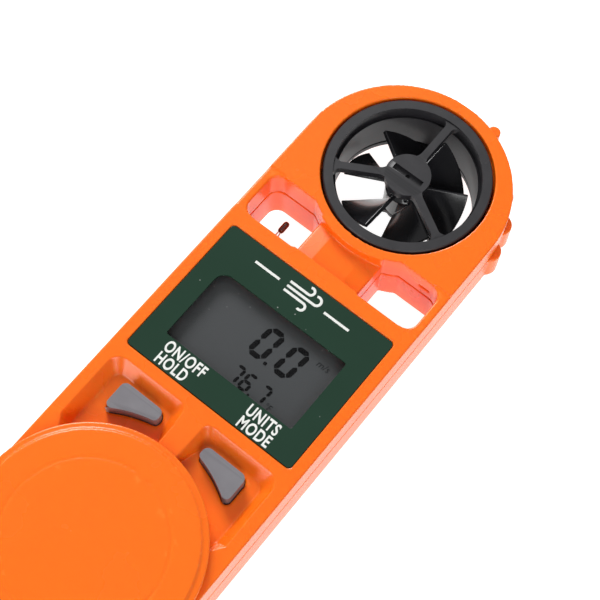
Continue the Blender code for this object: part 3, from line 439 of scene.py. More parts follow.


# the edge colour given in a look below is a painted highlight, laid paler on convex edges
looks = {
    "orangePlastic": {
        "color": (0.98, 0.172, 0.0068), "drift": (0.95, 0.156, 0.0058), "driftScale": 25, "driftAmount": 0.6,
        "paintedHighlight": (1.0, 0.34, 0.06), "paintedHighlightAmount": 0.35,
        "roughness": 0.27, "roughSpread": 0.10, "grainScale": 2600, "bump": 0.08,
        "sockets": {"Subsurface Weight": 0.3, "Subsurface Radius": (1.0, 0.22, 0.05),
                    "Subsurface Scale": 0.0020, "IOR": 1.48, "Specular IOR Level": 0.45}},
    "greenPrint": {
        "color": (0.0080, 0.034, 0.018), "drift": (0.012, 0.042, 0.025), "driftScale": 60,
        "dust": 0.6, "dustScale": 900, "roughness": 0.16, "roughSpread": 0.05,
        "grainScale": 900, "bump": 0.02,
        "sockets": {"Coat Weight": 0.25, "Coat Roughness": 0.05, "IOR": 1.45}},
    "whiteInk": {
        "color": (0.80, 0.81, 0.78), "drift": (0.68, 0.70, 0.67), "driftScale": 900,
        "roughness": 0.35, "grainScale": 2500, "bump": 0.06, "sockets": {}},
    "lcdGrey": {
        "color": (0.058, 0.063, 0.067), "drift": (0.060, 0.064, 0.068), "driftScale": 45,
        "dust": 0.30, "dustScale": 900, "roughness": 0.42, "roughSpread": 0.05,
        "grainScale": 4200, "bump": 0.05, "sockets": {"Coat Weight": 0.25, "Coat Roughness": 0.1}},
    "lcdInk": {
        "color": (0.0015, 0.0015, 0.002), "drift": (0.003, 0.003, 0.004), "roughness": 0.6,
        "bump": 0.02, "sockets": {"Specular IOR Level": 0.06}},
    "lcdFaint": {
        "color": (0.020, 0.021, 0.022), "drift": (0.026, 0.027, 0.030), "roughness": 0.6,
        "bump": 0.02, "sockets": {"Specular IOR Level": 0.1}},
    "greyKey": {
        "color": (0.160, 0.152, 0.168), "drift": (0.165, 0.158, 0.172), "driftScale": 120,
        "paintedHighlight": (0.29, 0.285, 0.30), "paintedHighlightAmount": 0.4,
        "roughness": 0.50, "grainScale": 3200, "bump": 0.22,
        "sockets": {"Subsurface Weight": 0.1, "Subsurface Radius": (1, 0.9, 0.8),
                    "Subsurface Scale": 0.0006}},
    "charcoalPlastic": {
        "color": (0.0065, 0.0062, 0.0082), "drift": (0.0095, 0.009, 0.0115), "driftScale": 70,
        "paintedHighlight": (0.045, 0.043, 0.048), "paintedHighlightAmount": 0.5, "dust": 0.15, "dustScale": 1500,
        "roughness": 0.46, "roughSpread": 0.14, "grainScale": 3000, "bump": 0.25,
        "sockets": {"IOR": 1.5}},
    "impellerBlack": {
        "color": (0.010, 0.010, 0.012), "drift": (0.018, 0.018, 0.021), "driftScale": 120,
        "paintedHighlight": (0.05, 0.05, 0.055), "paintedHighlightAmount": 0.4,
        "roughness": 0.22, "roughSpread": 0.12, "grainScale": 1200, "bump": 0.10,
        "sockets": {"IOR": 1.52, "Coat Weight": 0.2, "Coat Roughness": 0.1}},
    "platedSteel": {
        "color": (0.60, 0.60, 0.61), "drift": (0.45, 0.45, 0.47), "driftScale": 200,
        "roughness": 0.28, "roughSpread": 0.2, "grainScale": 2500, "bump": 0.2,
        "sockets": {"Metallic": 1.0}},
    "tinnedWire": {
        "color": (0.74, 0.73, 0.70), "drift": (0.58, 0.56, 0.54), "driftScale": 500,
        "roughness": 0.25, "bump": 0.1, "sockets": {"Metallic": 1.0}},
    "blackRubber": {
        "color": (0.018, 0.018, 0.019), "drift": (0.030, 0.030, 0.031), "driftScale": 90,
        "roughness": 0.72, "grainScale": 1800, "bump": 0.3, "sockets": {}},
    "greyRubber": {
        "color": (0.24, 0.25, 0.25), "drift": (0.20, 0.21, 0.21), "roughness": 0.75,
        "bump": 0.2, "sockets": {}},
    "whitePlastic": {
        "color": (0.70, 0.70, 0.67), "drift": (0.64, 0.64, 0.60), "roughness": 0.5,
        "bump": 0.1, "sockets": {}},
    "boardGreen": {
        "color": (0.012, 0.12, 0.045), "drift": (0.010, 0.085, 0.035), "driftScale": 300,
        "roughness": 0.35, "bump": 0.2, "sockets": {"Coat Weight": 0.4}},
    "chipBlack": {
        "color": (0.02, 0.02, 0.021), "drift": (0.03, 0.03, 0.03), "roughness": 0.55,
        "bump": 0.3, "sockets": {}},
    "zebraRubber": {
        "color": (0.22, 0.07, 0.09), "drift": (0.35, 0.20, 0.20), "driftScale": 400,
        "roughness": 0.7, "bump": 0.1, "sockets": {}},
    "copperWire": {
        "color": (0.55, 0.20, 0.07), "drift": (0.40, 0.13, 0.05), "driftScale": 600,
        "roughness": 0.3, "grainScale": 900, "bump": 0.4, "sockets": {"Metallic": 0.9}},
    "redSleeve": {
        "color": (0.38, 0.02, 0.02), "drift": (0.30, 0.015, 0.015), "roughness": 0.45,
        "bump": 0.1, "sockets": {}},
    "rubyJewel": {
        "color": (0.45, 0.01, 0.05), "drift": (0.55, 0.03, 0.08), "roughness": 0.08,
        "bump": 0.01, "sockets": {"Coat Weight": 0.8}},
    "magnetGrey": {
        "color": (0.07, 0.07, 0.075), "drift": (0.10, 0.10, 0.10), "driftScale": 300,
        "roughness": 0.5, "bump": 0.4, "sockets": {"Metallic": 0.6}},
    "nylonWhite": {
        "color": (0.78, 0.77, 0.72), "drift": (0.70, 0.69, 0.64), "roughness": 0.45,
        "bump": 0.1, "sockets": {"Subsurface Weight": 0.2, "Subsurface Scale": 0.001}},
    "beadGlass": {
        "color": (0.040, 0.006, 0.003), "drift": (0.12, 0.022, 0.010), "driftScale": 700,
        "driftAmount": 0.9, "roughness": 0.10, "roughSpread": 0.05, "bump": 0.03,
        "sockets": {"Coat Weight": 0.9, "Coat Roughness": 0.03, "IOR": 1.55}},
    "clearPane": {
        "color": (0.006, 0.007, 0.007), "drift": (0.009, 0.010, 0.010), "roughness": 0.08,
        "roughSpread": 0.02, "bump": 0.01, "sockets": {"Alpha": 0.08, "IOR": 1.9}},
}
paints = {name: makePaint(name, look) for name, look in looks.items()}
print("materials made:", len(paints))


# Outlines of this meter.

partingZ = (shellLow[2] + rearHigh[2]) / 2
window = {"inX": 7.2, "outX": 19.7, "lowY": 18.6, "highY": 28.9, "corner": 2.5, "collar": 18.4}
keyForm = {"inX": 4.9, "outX": 14.1, "topY": -20.9, "hollow": 24.7, "lowCorner": 0.9, "topCorner": 1.2,
           "edgeRound": 0.75, "flangeX": (4.1, 14.7), "flangeY": (-25.2, -20.0), "flangeCorner": 0.8,
           "flangeZ": (0.1, 0.6)}


def bodyOutline(half, steps=72):
    return arcPoints(0, headY, half, 0, 180, steps) + arcPoints(0, pivotY, half, 180, 360, steps)


def windowOutline():
    collar = window["collar"]
    start = math.degrees(math.asin((window["highY"] - impellerY) / collar))
    end = -math.degrees(math.acos(window["inX"] / collar))
    corners = [(window["inX"], window["lowY"], 0.5), (window["outX"], window["lowY"], window["corner"]),
               (window["outX"], window["highY"], window["corner"])]
    return softCorners(corners + arcPoints(0, impellerY, collar, start, end, 10))


def keyOutline(grow=0.0):
    radius = keyForm["hollow"] - grow
    inner, outer = -keyForm["inX"] + grow, -keyForm["outX"] - grow
    start = math.degrees(math.acos(outer / radius))
    end = math.degrees(math.acos(inner / radius))
    low = arcPoints(0, pivotY, radius, start, end, 16)
    low[0] = (*low[0], keyForm["lowCorner"])
    low[-1] = (*low[-1], keyForm["lowCorner"])
    top, soft = keyForm["topY"] + grow, keyForm["topCorner"] + grow
    return softCorners([(inner, top, soft), (outer, top, soft)] + low)


def lofted(name, rings):
    # closed solid through rings of (outline, z), lowest first, each with the same count of points
    mesh = bpy.data.meshes.new(name)
    work = bmesh.new()
    loops = [[work.verts.new(((panelSpot.x + x * mm), (panelSpot.y + y * mm), z * mm)) for x, y in outline]
             for outline, z in rings]
    count = len(loops[0])
    for lower, upper in zip(loops, loops[1:]):
        for i in range(count):
            j = (i + 1) % count
            work.faces.new((lower[i], lower[j], upper[j], upper[i]))
    work.faces.new(list(reversed(loops[0])))
    work.faces.new(loops[-1])
    bmesh.ops.recalc_face_normals(work, faces=work.faces)
    work.to_mesh(mesh)
    work.free()
    return addPiece(name, mesh)


def standing(name, profile, y0, y1):
    # closed profile of (x, z), drawn out along y
    mesh = bpy.data.meshes.new(name)
    work = bmesh.new()
    ends = [[work.verts.new((panelSpot.x + x * mm, panelSpot.y + y * mm, z * mm)) for x, z in profile]
            for y in (y0, y1)]
    for i in range(len(profile)):
        j = (i + 1) % len(profile)
        work.faces.new((ends[0][i], ends[0][j], ends[1][j], ends[1][i]))
    for end in ends:
        work.faces.new(end)
    bmesh.ops.recalc_face_normals(work, faces=work.faces)
    work.to_mesh(mesh)
    work.free()
    return addPiece(name, mesh)


# The two shells of the body.

shellForm = {
    "edgeRound": 1.6, "panelRecess": 1.0, "panelCorner": 0.9, "bridgeDepth": 2.0,
    "bridgeFlat": 3.6, "bridgeFall": 1.1, "pocketDepth": 2.5, "railDish": 0.22,
    "boreRadius": 16.72, "boreSeat": 16.45, "boreLip": 15.6, "pivotHole": 7.3, "washerSeat": 11,
    "cavity": (-18.2, -26.3, 18.2, 14.6, 1.5), "cavityZ": (3.6, 13.5),
    "tunnel": (-3.9, 13.6, 5, 3.9, 24.1, 12.5), "partingGap": 0.15, "frontVoxel": 0.2, "rearVoxel": 0.24,
    # front shell
    "nubTurn": 71, "nubReach": 21.9, "nubRadius": 1.3, "panelGap": 0.14, "keyGap": 0.14,
    "sight": (-15.3, -10.1, 15.3, 7.5, 1.5), "displayRoom": (-18, -15.6, 18, 14.4, 1.5),
    "pocketRim": (-17.5, -2.3, -19.0, 1.6, 2.6), "pocketFloor": (-19.9, -4.3, -17.0, 0.9, 1.6),
    "railX": (17.5, 23), "wallSlot": (14.6, 28.2, 12.6, 17.0, 29.7, 13.3),
    # rear shell
    "gripTurns": (7, 24, 41), "gripStand": 1.3, "gripRadius": 2.3, "gripLow": 3.4,
    "hatch": 13.3, "hatchDeep": 3.2, "cellWell": 11.6, "cellWellDeep": 8,
    "probeHole": (-14.6, 13, 6.2, -12.0, 19.5, 8.8), "plateSeat": (-9.5, -27.5, 9.5, -20.0, 1.2),
    "plateSeatDeep": 0.25, "screwSeat": 2.2, "screwSeatDeep": 4.4, "screwHole": 1.3, "screwHoleDeep": 12}


def pocketRing(top, inner, outer, inCorner, outCorner):
    # both rings have the same corners, so that the loft's walls run straight between them
    low = arcPoints(0, pivotY, 19.4, 146, 96, 12)
    return softCorners([(inner, top, inCorner), (outer, top, outCorner), (outer, low[0][1] + 4)] + low)


def bodyHollows(tag):
    form = shellForm
    cuts = [raised("window" + tag, [windowOutline()], 0, 20),
            raised("windowLeft" + tag, [mirrorPoints(windowOutline())], 0, 20)]
    bore = [(0, faceZ + 1), (form["boreRadius"], faceZ + 1), (form["boreRadius"], faceZ - 1.6),
            (form["boreSeat"], faceZ - 2), (form["boreSeat"], ductLow[2] - 0.3),
            (form["boreLip"], ductLow[2] - 0.3), (form["boreLip"], backZ - 1), (0, backZ - 1)]
    cuts.append(turned("bore" + tag, 0, impellerY, bore))
    cuts.append(raised("cavity" + tag, [softBox(*form["cavity"])], *form["cavityZ"]))
    cuts.append(brick("tunnel" + tag, *form["tunnel"]))
    cuts.append(post("pivotHole" + tag, 0, pivotY, form["pivotHole"], 0, 20))
    return cuts


def makeFrontShell():
    form = shellForm
    shell = roundEdges(raised("frontShell", [bodyOutline(bodyHalf)], backZ, faceZ), form["edgeRound"], 8, 50)
    turn, reach = math.radians(form["nubTurn"]), form["nubReach"]
    nub = post("nub", reach * math.cos(turn), headY + reach * math.sin(turn), form["nubRadius"],
               partingZ, faceZ - 0.9)
    shell = carve(shell, nub, mode="UNION")
    cuts = [brick("belowParting", -40, -90, 0, 40, 90, partingZ + form["partingGap"])] + bodyHollows("Front")
    width = (panelHigh - panelLow).x / mm / 2 + form["panelGap"]
    height = (panelHigh - panelLow).y / mm / 2 + form["panelGap"]
    cuts.append(raised("panelSeat", [softBox(-width, -height, width, height, form["panelCorner"])],
                       faceZ - form["panelRecess"], 20))
    cuts.append(raised("sight", [softBox(*form["sight"])], 10, 20))
    cuts.append(raised("displayRoom", [softBox(*form["displayRoom"])], 12, 15.1))
    deep, flat, fall = faceZ - form["bridgeDepth"], form["bridgeFlat"], form["bridgeFall"]
    edge = window["inX"] + 1.4
    start = -math.degrees(math.acos(edge / (window["collar"] + 0.4)))
    top = arcPoints(0, impellerY, window["collar"] + 0.4, start, -180 - start, 24)
    low = window["lowY"] + 0.3
    bridge = raised("bridgeTop", [[(-edge, low), (edge, low)] + top], 12, 20)
    slope = standing("bridgeSlope", [(-edge - 1, 21), (-edge - 1, deep - fall), (-flat, deep), (flat, deep),
                                     (edge + 1, deep - fall), (edge + 1, 21)], 15, 34)
    cuts.append(carve(bridge, slope, mode="INTERSECT"))
    high, low = pocketRing(*form["pocketRim"]), pocketRing(*form["pocketFloor"])
    floor = faceZ - form["pocketDepth"]
    for tag, flip in (("Left", False), ("Right", True)):
        rings = [(low, floor), (high, faceZ + 0.05), (high, 20)]
        if flip:
            rings = [(mirrorPoints(outline), z) for outline, z in rings]
        cuts.append(lofted("pocket" + tag, rings))
        outline = keyOutline(form["keyGap"])
        cuts.append(raised("keyHole" + tag, [mirrorPoints(outline) if flip else outline], 11.5, 20))
        side = 1 if flip else -1
        x0, x1 = sorted(side * x for x in form["railX"])
        cuts.append(brick("railDish" + tag, x0, window["lowY"] + 0.1, faceZ - form["railDish"],
                          x1, window["highY"] + 0.5, 20))
    cuts.append(post("washerSeat", 0, pivotY, form["washerSeat"], faceZ - 1, 20))
    cuts.append(brick("wallSlot", *form["wallSlot"]))
    shell = soften(carve(shell, *cuts), form["frontVoxel"], 4, 0.3)
    return give(shell, "meter", "orange_shell", paints["orangePlastic"], "front_shell")


def makeRearShell():
    form = shellForm
    shell = roundEdges(raised("rearShell", [bodyOutline(bodyHalf)], backZ, faceZ), form["edgeRound"], 8, 50)
    ribs = []
    reach = bodyHalf + form["gripStand"] - form["gripRadius"]
    for i, angle in enumerate(form["gripTurns"]):
        turn = math.radians(angle)
        ribs.append(post("grip%d" % i, reach * math.cos(turn), headY + reach * math.sin(turn),
                         form["gripRadius"], form["gripLow"], partingZ + 1))
    shell = carve(shell, *ribs, mode="UNION")
    cuts = [brick("aboveParting", -40, -90, partingZ - form["partingGap"], 40, 90, 20)] + bodyHollows("Rear")
    x, y, _ = middleOf("battery_cap")
    cuts.append(post("hatch", x, y, form["hatch"], 0, form["hatchDeep"], 96))
    cuts.append(post("cellWell", x, y, form["cellWell"], 0, form["cellWellDeep"], 96))
    cuts.append(post("washerSeat", 0, pivotY, form["washerSeat"], 0, backZ + 1))
    cuts.append(brick("probeHole", *form["probeHole"]))
    cuts.append(raised("plateSeat", [softBox(*form["plateSeat"])], 0, backZ + form["plateSeatDeep"]))
    for i in range(1, 5):
        x, y, _ = middleOf("case_screw_%d" % i)
        cuts += [post("screwHead%d" % i, x, y, form["screwSeat"], 0, form["screwSeatDeep"]),
                 post("screwShank%d" % i, x, y, form["screwHole"], 0, form["screwHoleDeep"])]
    shell = soften(carve(shell, *cuts), form["rearVoxel"], 3, 0.3)
    return give(shell, "meter", "orange_shell", paints["orangePlastic"], "rear_shell")


makeFrontShell()
makeRearShell()
print("shells made")


# The folding sheath.

sheathForm = {
    "plate": 1.7, "edgeRound": 1.1, "corner": 4.5, "split": 9.55, "splitGap": 0.15, "spineThick": 2.2,
    "grooveIn": 14.7, "grooveOut": 15.05, "grooveDepth": 0.22, "rimIn": 20.0, "rimDrop": 0.45,
    "hub": 7.0, "inset": 0.95, "lanyard": 3.2, "lanyardReach": 27.6, "lanyardTurn": -45,
    "pivotHole": 1.9, "pivotSeat": 3.3, "pivotSeatDeep": 2.3,
    "screwHole": 1.1, "screwSeat": 1.8, "screwSeatDeep": 1.9, "voxel": 0.24}


def plateOutline():
    lowY = sheathLow[1]
    top = arcPoints(0, pivotY, bodyHalf, 180, 0, 72)
    right = softCorners([(bodyHalf, pivotY - 2), (sheathOut, pivotY - 8, 8),
                         (sheathOut, lowY, sheathForm["corner"]), (0, lowY)])
    left = -180 + math.degrees(math.acos(bodyHalf / sheathOut))
    return top + right + arcPoints(0, sheathEndY, sheathOut, -90, left, 40)[1:]


def spineOutline():
    lowY, inside = sheathLow[1], sheathOut - sheathForm["spineThick"]
    corner = softCorners([(sheathOut, pivotY - 10), (sheathOut, lowY, sheathForm["corner"]), (0, lowY)])
    return corner + arcPoints(0, sheathEndY, inside, -90, 0, 40) + [(inside, pivotY - 10)]


def makeSheathHalf(name, node, front):
    form = sheathForm
    split = form["split"]
    if front:
        draft, plateCut = (topZ - 4, topZ), (topZ - 6, topZ - form["plate"])
        spineZ = (split + form["splitGap"], topZ - form["inset"])
    else:
        draft, plateCut = (0, 4), (form["plate"], 6)
        spineZ = (form["inset"], split - form["splitGap"])
    half = roundEdges(raised(name, [plateOutline()], *draft), form["edgeRound"], 6, 50)
    half = carve(half, brick(name + "Thin", -60, -200, plateCut[0], 60, 20, plateCut[1]))
    half = carve(half, raised(name + "Spine", [spineOutline()], *spineZ),
                 post(name + "Hub", 0, pivotY, form["hub"], *spineZ), mode="UNION")
    turn = math.radians(form["lanyardTurn"])
    lanyard = (form["lanyardReach"] * math.cos(turn), sheathEndY + form["lanyardReach"] * math.sin(turn))
    cuts = [post(name + "Lanyard", *lanyard, form["lanyard"], -1, 20)]
    if front:
        ring = [(form["grooveIn"], topZ + 1), (form["grooveOut"], topZ + 1),
                (form["grooveOut"], topZ - form["grooveDepth"]),
                (form["grooveIn"], topZ - form["grooveDepth"])]
        reach, drop = bodyHalf + 0.5, topZ - form["rimDrop"]
        step = arcPoints(0, pivotY, form["rimIn"], 186, -6, 64) + arcPoints(0, pivotY, reach, -6, 186, 64)
        cuts += [raised("discRim", [step], drop, topZ + 1), turned("discGroove", 0, pivotY, ring, 128),
                 post("pivotPilot", 0, pivotY, form["pivotHole"], 0, 14.5)]
    else:
        cuts += [post("pivotClear", 0, pivotY, form["pivotHole"], 0, 12),
                 post("pivotSeat", 0, pivotY, form["pivotSeat"], -1, form["pivotSeatDeep"])]
    for i in (1, 2):
        x, y, _ = middleOf("sheath_screw_%d" % i)
        if front:
            cuts.append(post("screwPilot%d" % i, x, y, form["screwHole"], 9, 15.5))
        else:
            cuts += [post("screwClear%d" % i, x, y, form["screwHole"], 0, 12),
                     post("screwSeat%d" % i, x, y, form["screwSeat"], -1, form["screwSeatDeep"])]
    half = soften(carve(half, *cuts), form["voxel"], 3, 0.3)
    return give(half, "sheath", "orange_shell", paints["orangePlastic"], node)


makeSheathHalf("sheathFront", "sheath_front", True)
makeSheathHalf("sheathRear", "sheath_rear", False)
print("sheath made")


# The impeller cartridge.

ductForm = {"mouth": 14.3, "duct": 13.7, "hub": 4.45, "spoke": 1.5, "angles": (90, 210, 330), "rearTurn": 16,
            "edgeRound": 0.09, "rearVoxel": 0.14, "slotLength": 6.6, "slotWidth": 1.3,
            "slotDepth": 0.75, "eye": 0.45}


def spiderSolid(name, reach, hub, half, z0, z1, flare, twist=0):
    # hub disc and three arms that widen in a curve where they meet the hub and the ring
    arms = [post(name + "Disc", 0, impellerY, hub, z0, z1, 96)]
    for angle in ductForm["angles"]:
        turn = math.radians(angle + twist)
        ux, uy = math.cos(turn), math.sin(turn)
        side = []
        for i in range(25):
            along = hub - 0.8 + (reach - hub + 0.8) * i / 24
            toHub = max(0, 1 - (along - hub + 0.3) / flare)
            toRing = max(0, 1 - (reach - 0.5 - along) / flare)
            side.append((along, half + 0.5 * toHub ** 2.2 + 1.2 * toRing ** 2.4))
        outline = side + [(r, -w) for r, w in reversed(side)]
        arms.append(raised(name + "Arm%d" % angle,
                           [[(r * ux - w * uy, impellerY + r * uy + w * ux) for r, w in outline]], z0, z1))
    return arms


def makeHousing():
    form, front, back = ductForm, ductHigh[2], ductLow[2]
    profile = [(form["mouth"], front), (ductOut - 0.2, front), (ductOut, front - 0.2), (ductOut, back),
               (14.9, back), (14.9, back + 1.7), (form["duct"], back + 2.5), (form["duct"], front - 2.6),
               (form["mouth"], front - 2.9)]
    housing = turned("housing", 0, impellerY, profile, 160)
    arms = spiderSolid("frontSpider", form["mouth"] + 0.5, form["hub"], form["spoke"] / 2,
                       front - 1.9, front - 0.25, 1.5)
    arms.append(post("boss", 0, impellerY, 3.1, front - 3.4, front - 1.5))
    housing = carve(housing, *arms, mode="UNION")
    slotZ = front - 0.25 - form["slotDepth"]
    cuts = [brick("hubSlot", -form["slotLength"] / 2, impellerY - form["slotWidth"] / 2, slotZ,
                  form["slotLength"] / 2, impellerY + form["slotWidth"] / 2, front + 1),
            post("jewelSeat", 0, impellerY, 1.5, front - 5, front - 1.9),
            post("hubEye", 0, impellerY, form["eye"], front - 1.6, front)]
    housing = smoothShade(roundEdges(carve(housing, *cuts), form["edgeRound"], 2, 50), 40)
    return give(housing, "cartridge", "charcoal_plastic", paints["charcoalPlastic"], "cartridge_housing")


def makeRearSpider():
    back = ductLow[2]
    arms = spiderSolid("backSpider", 14.3, 3.4, 0.75, back, back + 1.3, 1.8, ductForm["rearTurn"])
    band = turned("backBand", 0, impellerY, [(14.0, back + 1.4), (14.6, back + 1.4), (14.6, back),
                                             (14.0, back)], 128)
    boss = post("backBoss", 0, impellerY, 2.8, back + 0.5, back + 1.9)
    spider = carve(arms[0], *arms[1:], band, boss, mode="UNION")
    seat = post("backJewelSeat", 0, impellerY, 1.5, back + 0.7, back + 5)
    spider = soften(carve(spider, seat), ductForm["rearVoxel"], 3, 0.3)
    spider.name = "rearSpider"
    return give(spider, "cartridge", "charcoal_plastic", paints["charcoalPlastic"], "cartridge_rear_spider")


makeHousing()
makeRearSpider()
print("cartridge made")


# The impeller.

rotorForm = {"blades": 6, "tip": 12.1, "root": 2.6, "frontZ": 13.0, "backZ": 6.0, "frontAngle": 28.0,
             "sweep": -46.5, "thick": 0.8, "hub": 3.9, "voxel": 0.12}


def bladeSolid(name, phase):
    form = rotorForm
    mesh = bpy.data.meshes.new(name)
    work = bmesh.new()
    bmesh.ops.create_grid(work, x_segments=14, y_segments=22, size=0.5)
    for vert in work.verts:
        across, along = vert.co.x + 0.5, vert.co.y + 0.5
        radius = form["root"] + (form["tip"] - form["root"]) * across
        turn = math.radians(phase + form["sweep"] * along)
        z = form["frontZ"] + (form["backZ"] - form["frontZ"]) * along
        vert.co = (panelSpot.x + radius * math.cos(turn) * mm,
                   panelSpot.y + (impellerY + radius * math.sin(turn)) * mm, z * mm)
    work.to_mesh(mesh)
    work.free()
    blade = addPiece(name, mesh)
    skin = blade.modifiers.new("skin", "SOLIDIFY")
    skin.thickness = form["thick"] * mm
    skin.offset = 0
    return bake(blade)


def makeImpeller():
    form = rotorForm
    profile = [(0, form["frontZ"] - 0.6), (form["hub"] - 0.8, form["frontZ"] - 0.6),
               (form["hub"], form["frontZ"] - 1.2), (form["hub"], form["backZ"] - 0.1),
               (0, form["backZ"] - 0.1)]
    rotor = turned("impeller", 0, impellerY, profile, 96)
    blades = [bladeSolid("blade%d" % i, form["frontAngle"] + 360 / form["blades"] * i)
              for i in range(form["blades"])]
    rotor = carve(rotor, *blades, mode="UNION")
    cuts = [post("shaftBore", 0, impellerY, 0.9, 0, 20), post("magnetPocket", 0, impellerY, 2.9, 0, 8.7)]
    for i in range(form["blades"]):
        turn = math.radians(form["frontAngle"] - 22 + 60 * i)
        x, y = 3.3 * math.cos(turn), impellerY + 3.3 * math.sin(turn)
        cuts.append(post("moulding%d" % i, x, y, 0.35, 12.1, 13))
    rotor = soften(carve(rotor, *cuts), form["voxel"], 3, 0.35)
    return give(rotor, "rotor", "black_impeller", paints["impellerBlack"], "impeller_rotor")


makeImpeller()
print("impeller made")


# The keys, and the domes under them.

def makeKey(name, node, body, flip):
    top, low = reachOf(node)[1][2], reachOf(node)[0][2]
    outline = mirrorPoints(keyOutline()) if flip else keyOutline()
    key = roundEdges(raised(name, [outline], low, top), keyForm["edgeRound"], 6, 50)
    side = 1 if flip else -1
    x0, x1 = sorted(side * x for x in keyForm["flangeX"])
    (y0, y1), (z0, z1) = keyForm["flangeY"], keyForm["flangeZ"]
    flange = [softBox(x0, y0, x1, y1, keyForm["flangeCorner"])]
    key = carve(key, raised(name + "Flange", flange, low + z0, low + z1), mode="UNION")
    return give(smoothShade(key), body, "grey_key", paints["greyKey"], node)


makeKey("keyLeft", "key_left", "left_key", False)
makeKey("keyRight", "key_right", "right_key", True)


domeForm = {"lip": 0.35, "crown": 1.5, "wallLean": 0.7, "travel": 0.6}


def makeDome(name, node):
    # a rubber dome under each key, in its resting shape
    low, high = reachOf(node)
    x, y, _ = middleOf(node)
    top, foot, radius = high[2], low[2] + domeForm["lip"], (high[0] - low[0]) / 2
    crown, wall = domeForm["crown"], radius - domeForm["wallLean"]
    dome = turned(name, x, y, [(0, top), (crown, top), (crown + 0.1, top - 0.1), (wall + 0.1, foot + 0.2),
                               (wall + 0.3, foot), (radius, foot), (radius, low[2]), (0, low[2])], 48)
    dome = give(smoothShade(dome), "meter", "grey_rubber", paints["greyRubber"], node)
    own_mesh(dome)


makeDome("domeLeft", "rubber_dome_left")
makeDome("domeRight", "rubber_dome_right")
print("keys and domes made")


# The display panel.

panelForm = {"sightWidth": 29.0, "sightHeight": 16.0, "sightY": -1.3, "corner": 0.8, "topCorner": 2.4}


def lettering(name, words, x, y, size, z, slant=0.0, squeeze=1.0, weight=0.0, spread=1.0, thick=0.03):
    text = bpy.data.curves.new(name, "FONT")
    text.body = words
    text.size = size * mm
    text.extrude = thick / 2 * mm
    text.shear = slant
    text.offset = weight * mm
    text.align_x = "LEFT"
    text.space_character = spread
    draft = addPiece(name, text)
    draft.scale = (squeeze, 1, 1)
    draft.location = (panelSpot.x + x * mm, panelSpot.y + y * mm, (z + thick / 2) * mm)
    bpy.context.view_layer.update()
    return bake(draft)


def makePanel():
    form = panelForm
    z0, z1 = reachOf("faceplate")[0][2], reachOf("faceplate")[1][2]
    halfW, halfH = (panelHigh - panelLow).x / mm / 2, (panelHigh - panelLow).y / mm / 2
    x, y0 = form["sightWidth"] / 2, form["sightY"] - form["sightHeight"] / 2
    y1 = y0 + form["sightHeight"]
    sight = softCorners([(-x, y0, 0.5), (x, y0, 0.5), (x, y1, 0.5), (-x, y1, form["topCorner"])])
    panel = raised("panel", [softBox(-halfW, -halfH, halfW, halfH, form["corner"]), sight], z0, z1)
    panel = roundEdges(panel, 0.1, 2, 50)
    give(panel, "meter", "green_panel", paints["greenPrint"], "faceplate")
    paneLow, paneHigh = reachOf("display_window")
    pane = raised("pane", [softBox(paneLow[0], paneLow[1], paneHigh[0], paneHigh[1], 1.2)],
                  paneLow[2], paneHigh[2])
    give(pane, "meter", "clear_window", paints["clearPane"], "display_window")
    return z1


printForm = {
    "size": 3.2, "squeeze": 0.72, "weight": 0.085, "spread": 1.12, "stroke": 0.26, "strokeFlat": 0.1,
    "words": (("printPower", "ON/OFF", -13.0, -12.0), ("printHold", "HOLD", -12.9, -14.7),
              ("printUnits", "UNITS", 6.1, -12.1), ("printMode", "MODE", 6.2, -14.8)),
    "signX": -3.4, "gusts": ((12.9, 4.2, 0.75, 1), (11.9, 6.2, 0.9, 1), (10.9, 4.6, 0.75, -1)),
    "ruleY": 11.9, "ruleX": (5.2, 10.9)}


def makePrint(z):
    # plain words that say what each key does, and a plain wind sign between two rules
    form = printForm
    for name, text, x, y in form["words"]:
        ink = lettering(name, text, x, y, form["size"], z, squeeze=form["squeeze"],
                        weight=form["weight"], spread=form["spread"])
        give(ink, "meter", "white_plastic", paints["whiteInk"])
    strokes = []
    for y, length, curl, side in form["gusts"]:
        end = form["signX"] + length
        path = [(form["signX"], y), (end, y)]
        path += arcPoints(end, y + side * curl, curl, -90 * side, 120 * side, 14)[1:]
        strokes.append(path)
    (near, far), y = form["ruleX"], form["ruleY"]
    strokes += [[(-far, y), (-near, y)], [(near, y), (far, y)]]
    for i, path in enumerate(strokes):
        curve = bpy.data.curves.new("windSign%d" % i, "CURVE")
        curve.dimensions = "3D"
        curve.bevel_depth = form["stroke"] * mm
        curve.bevel_resolution = 3
        curve.use_fill_caps = True
        spline = curve.splines.new("POLY")
        spline.points.add(len(path) - 1)
        for point, (x, y) in zip(spline.points, path):
            point.co = (x * mm, y * mm, 0, 1)
        draft = addPiece("windSign%d" % i, curve)
        draft.scale = (1, 1, form["strokeFlat"])
        draft.location = (panelSpot.x, panelSpot.y, z * mm)
        bpy.context.view_layer.update()
        give(bake(draft), "meter", "white_plastic", paints["whiteInk"])


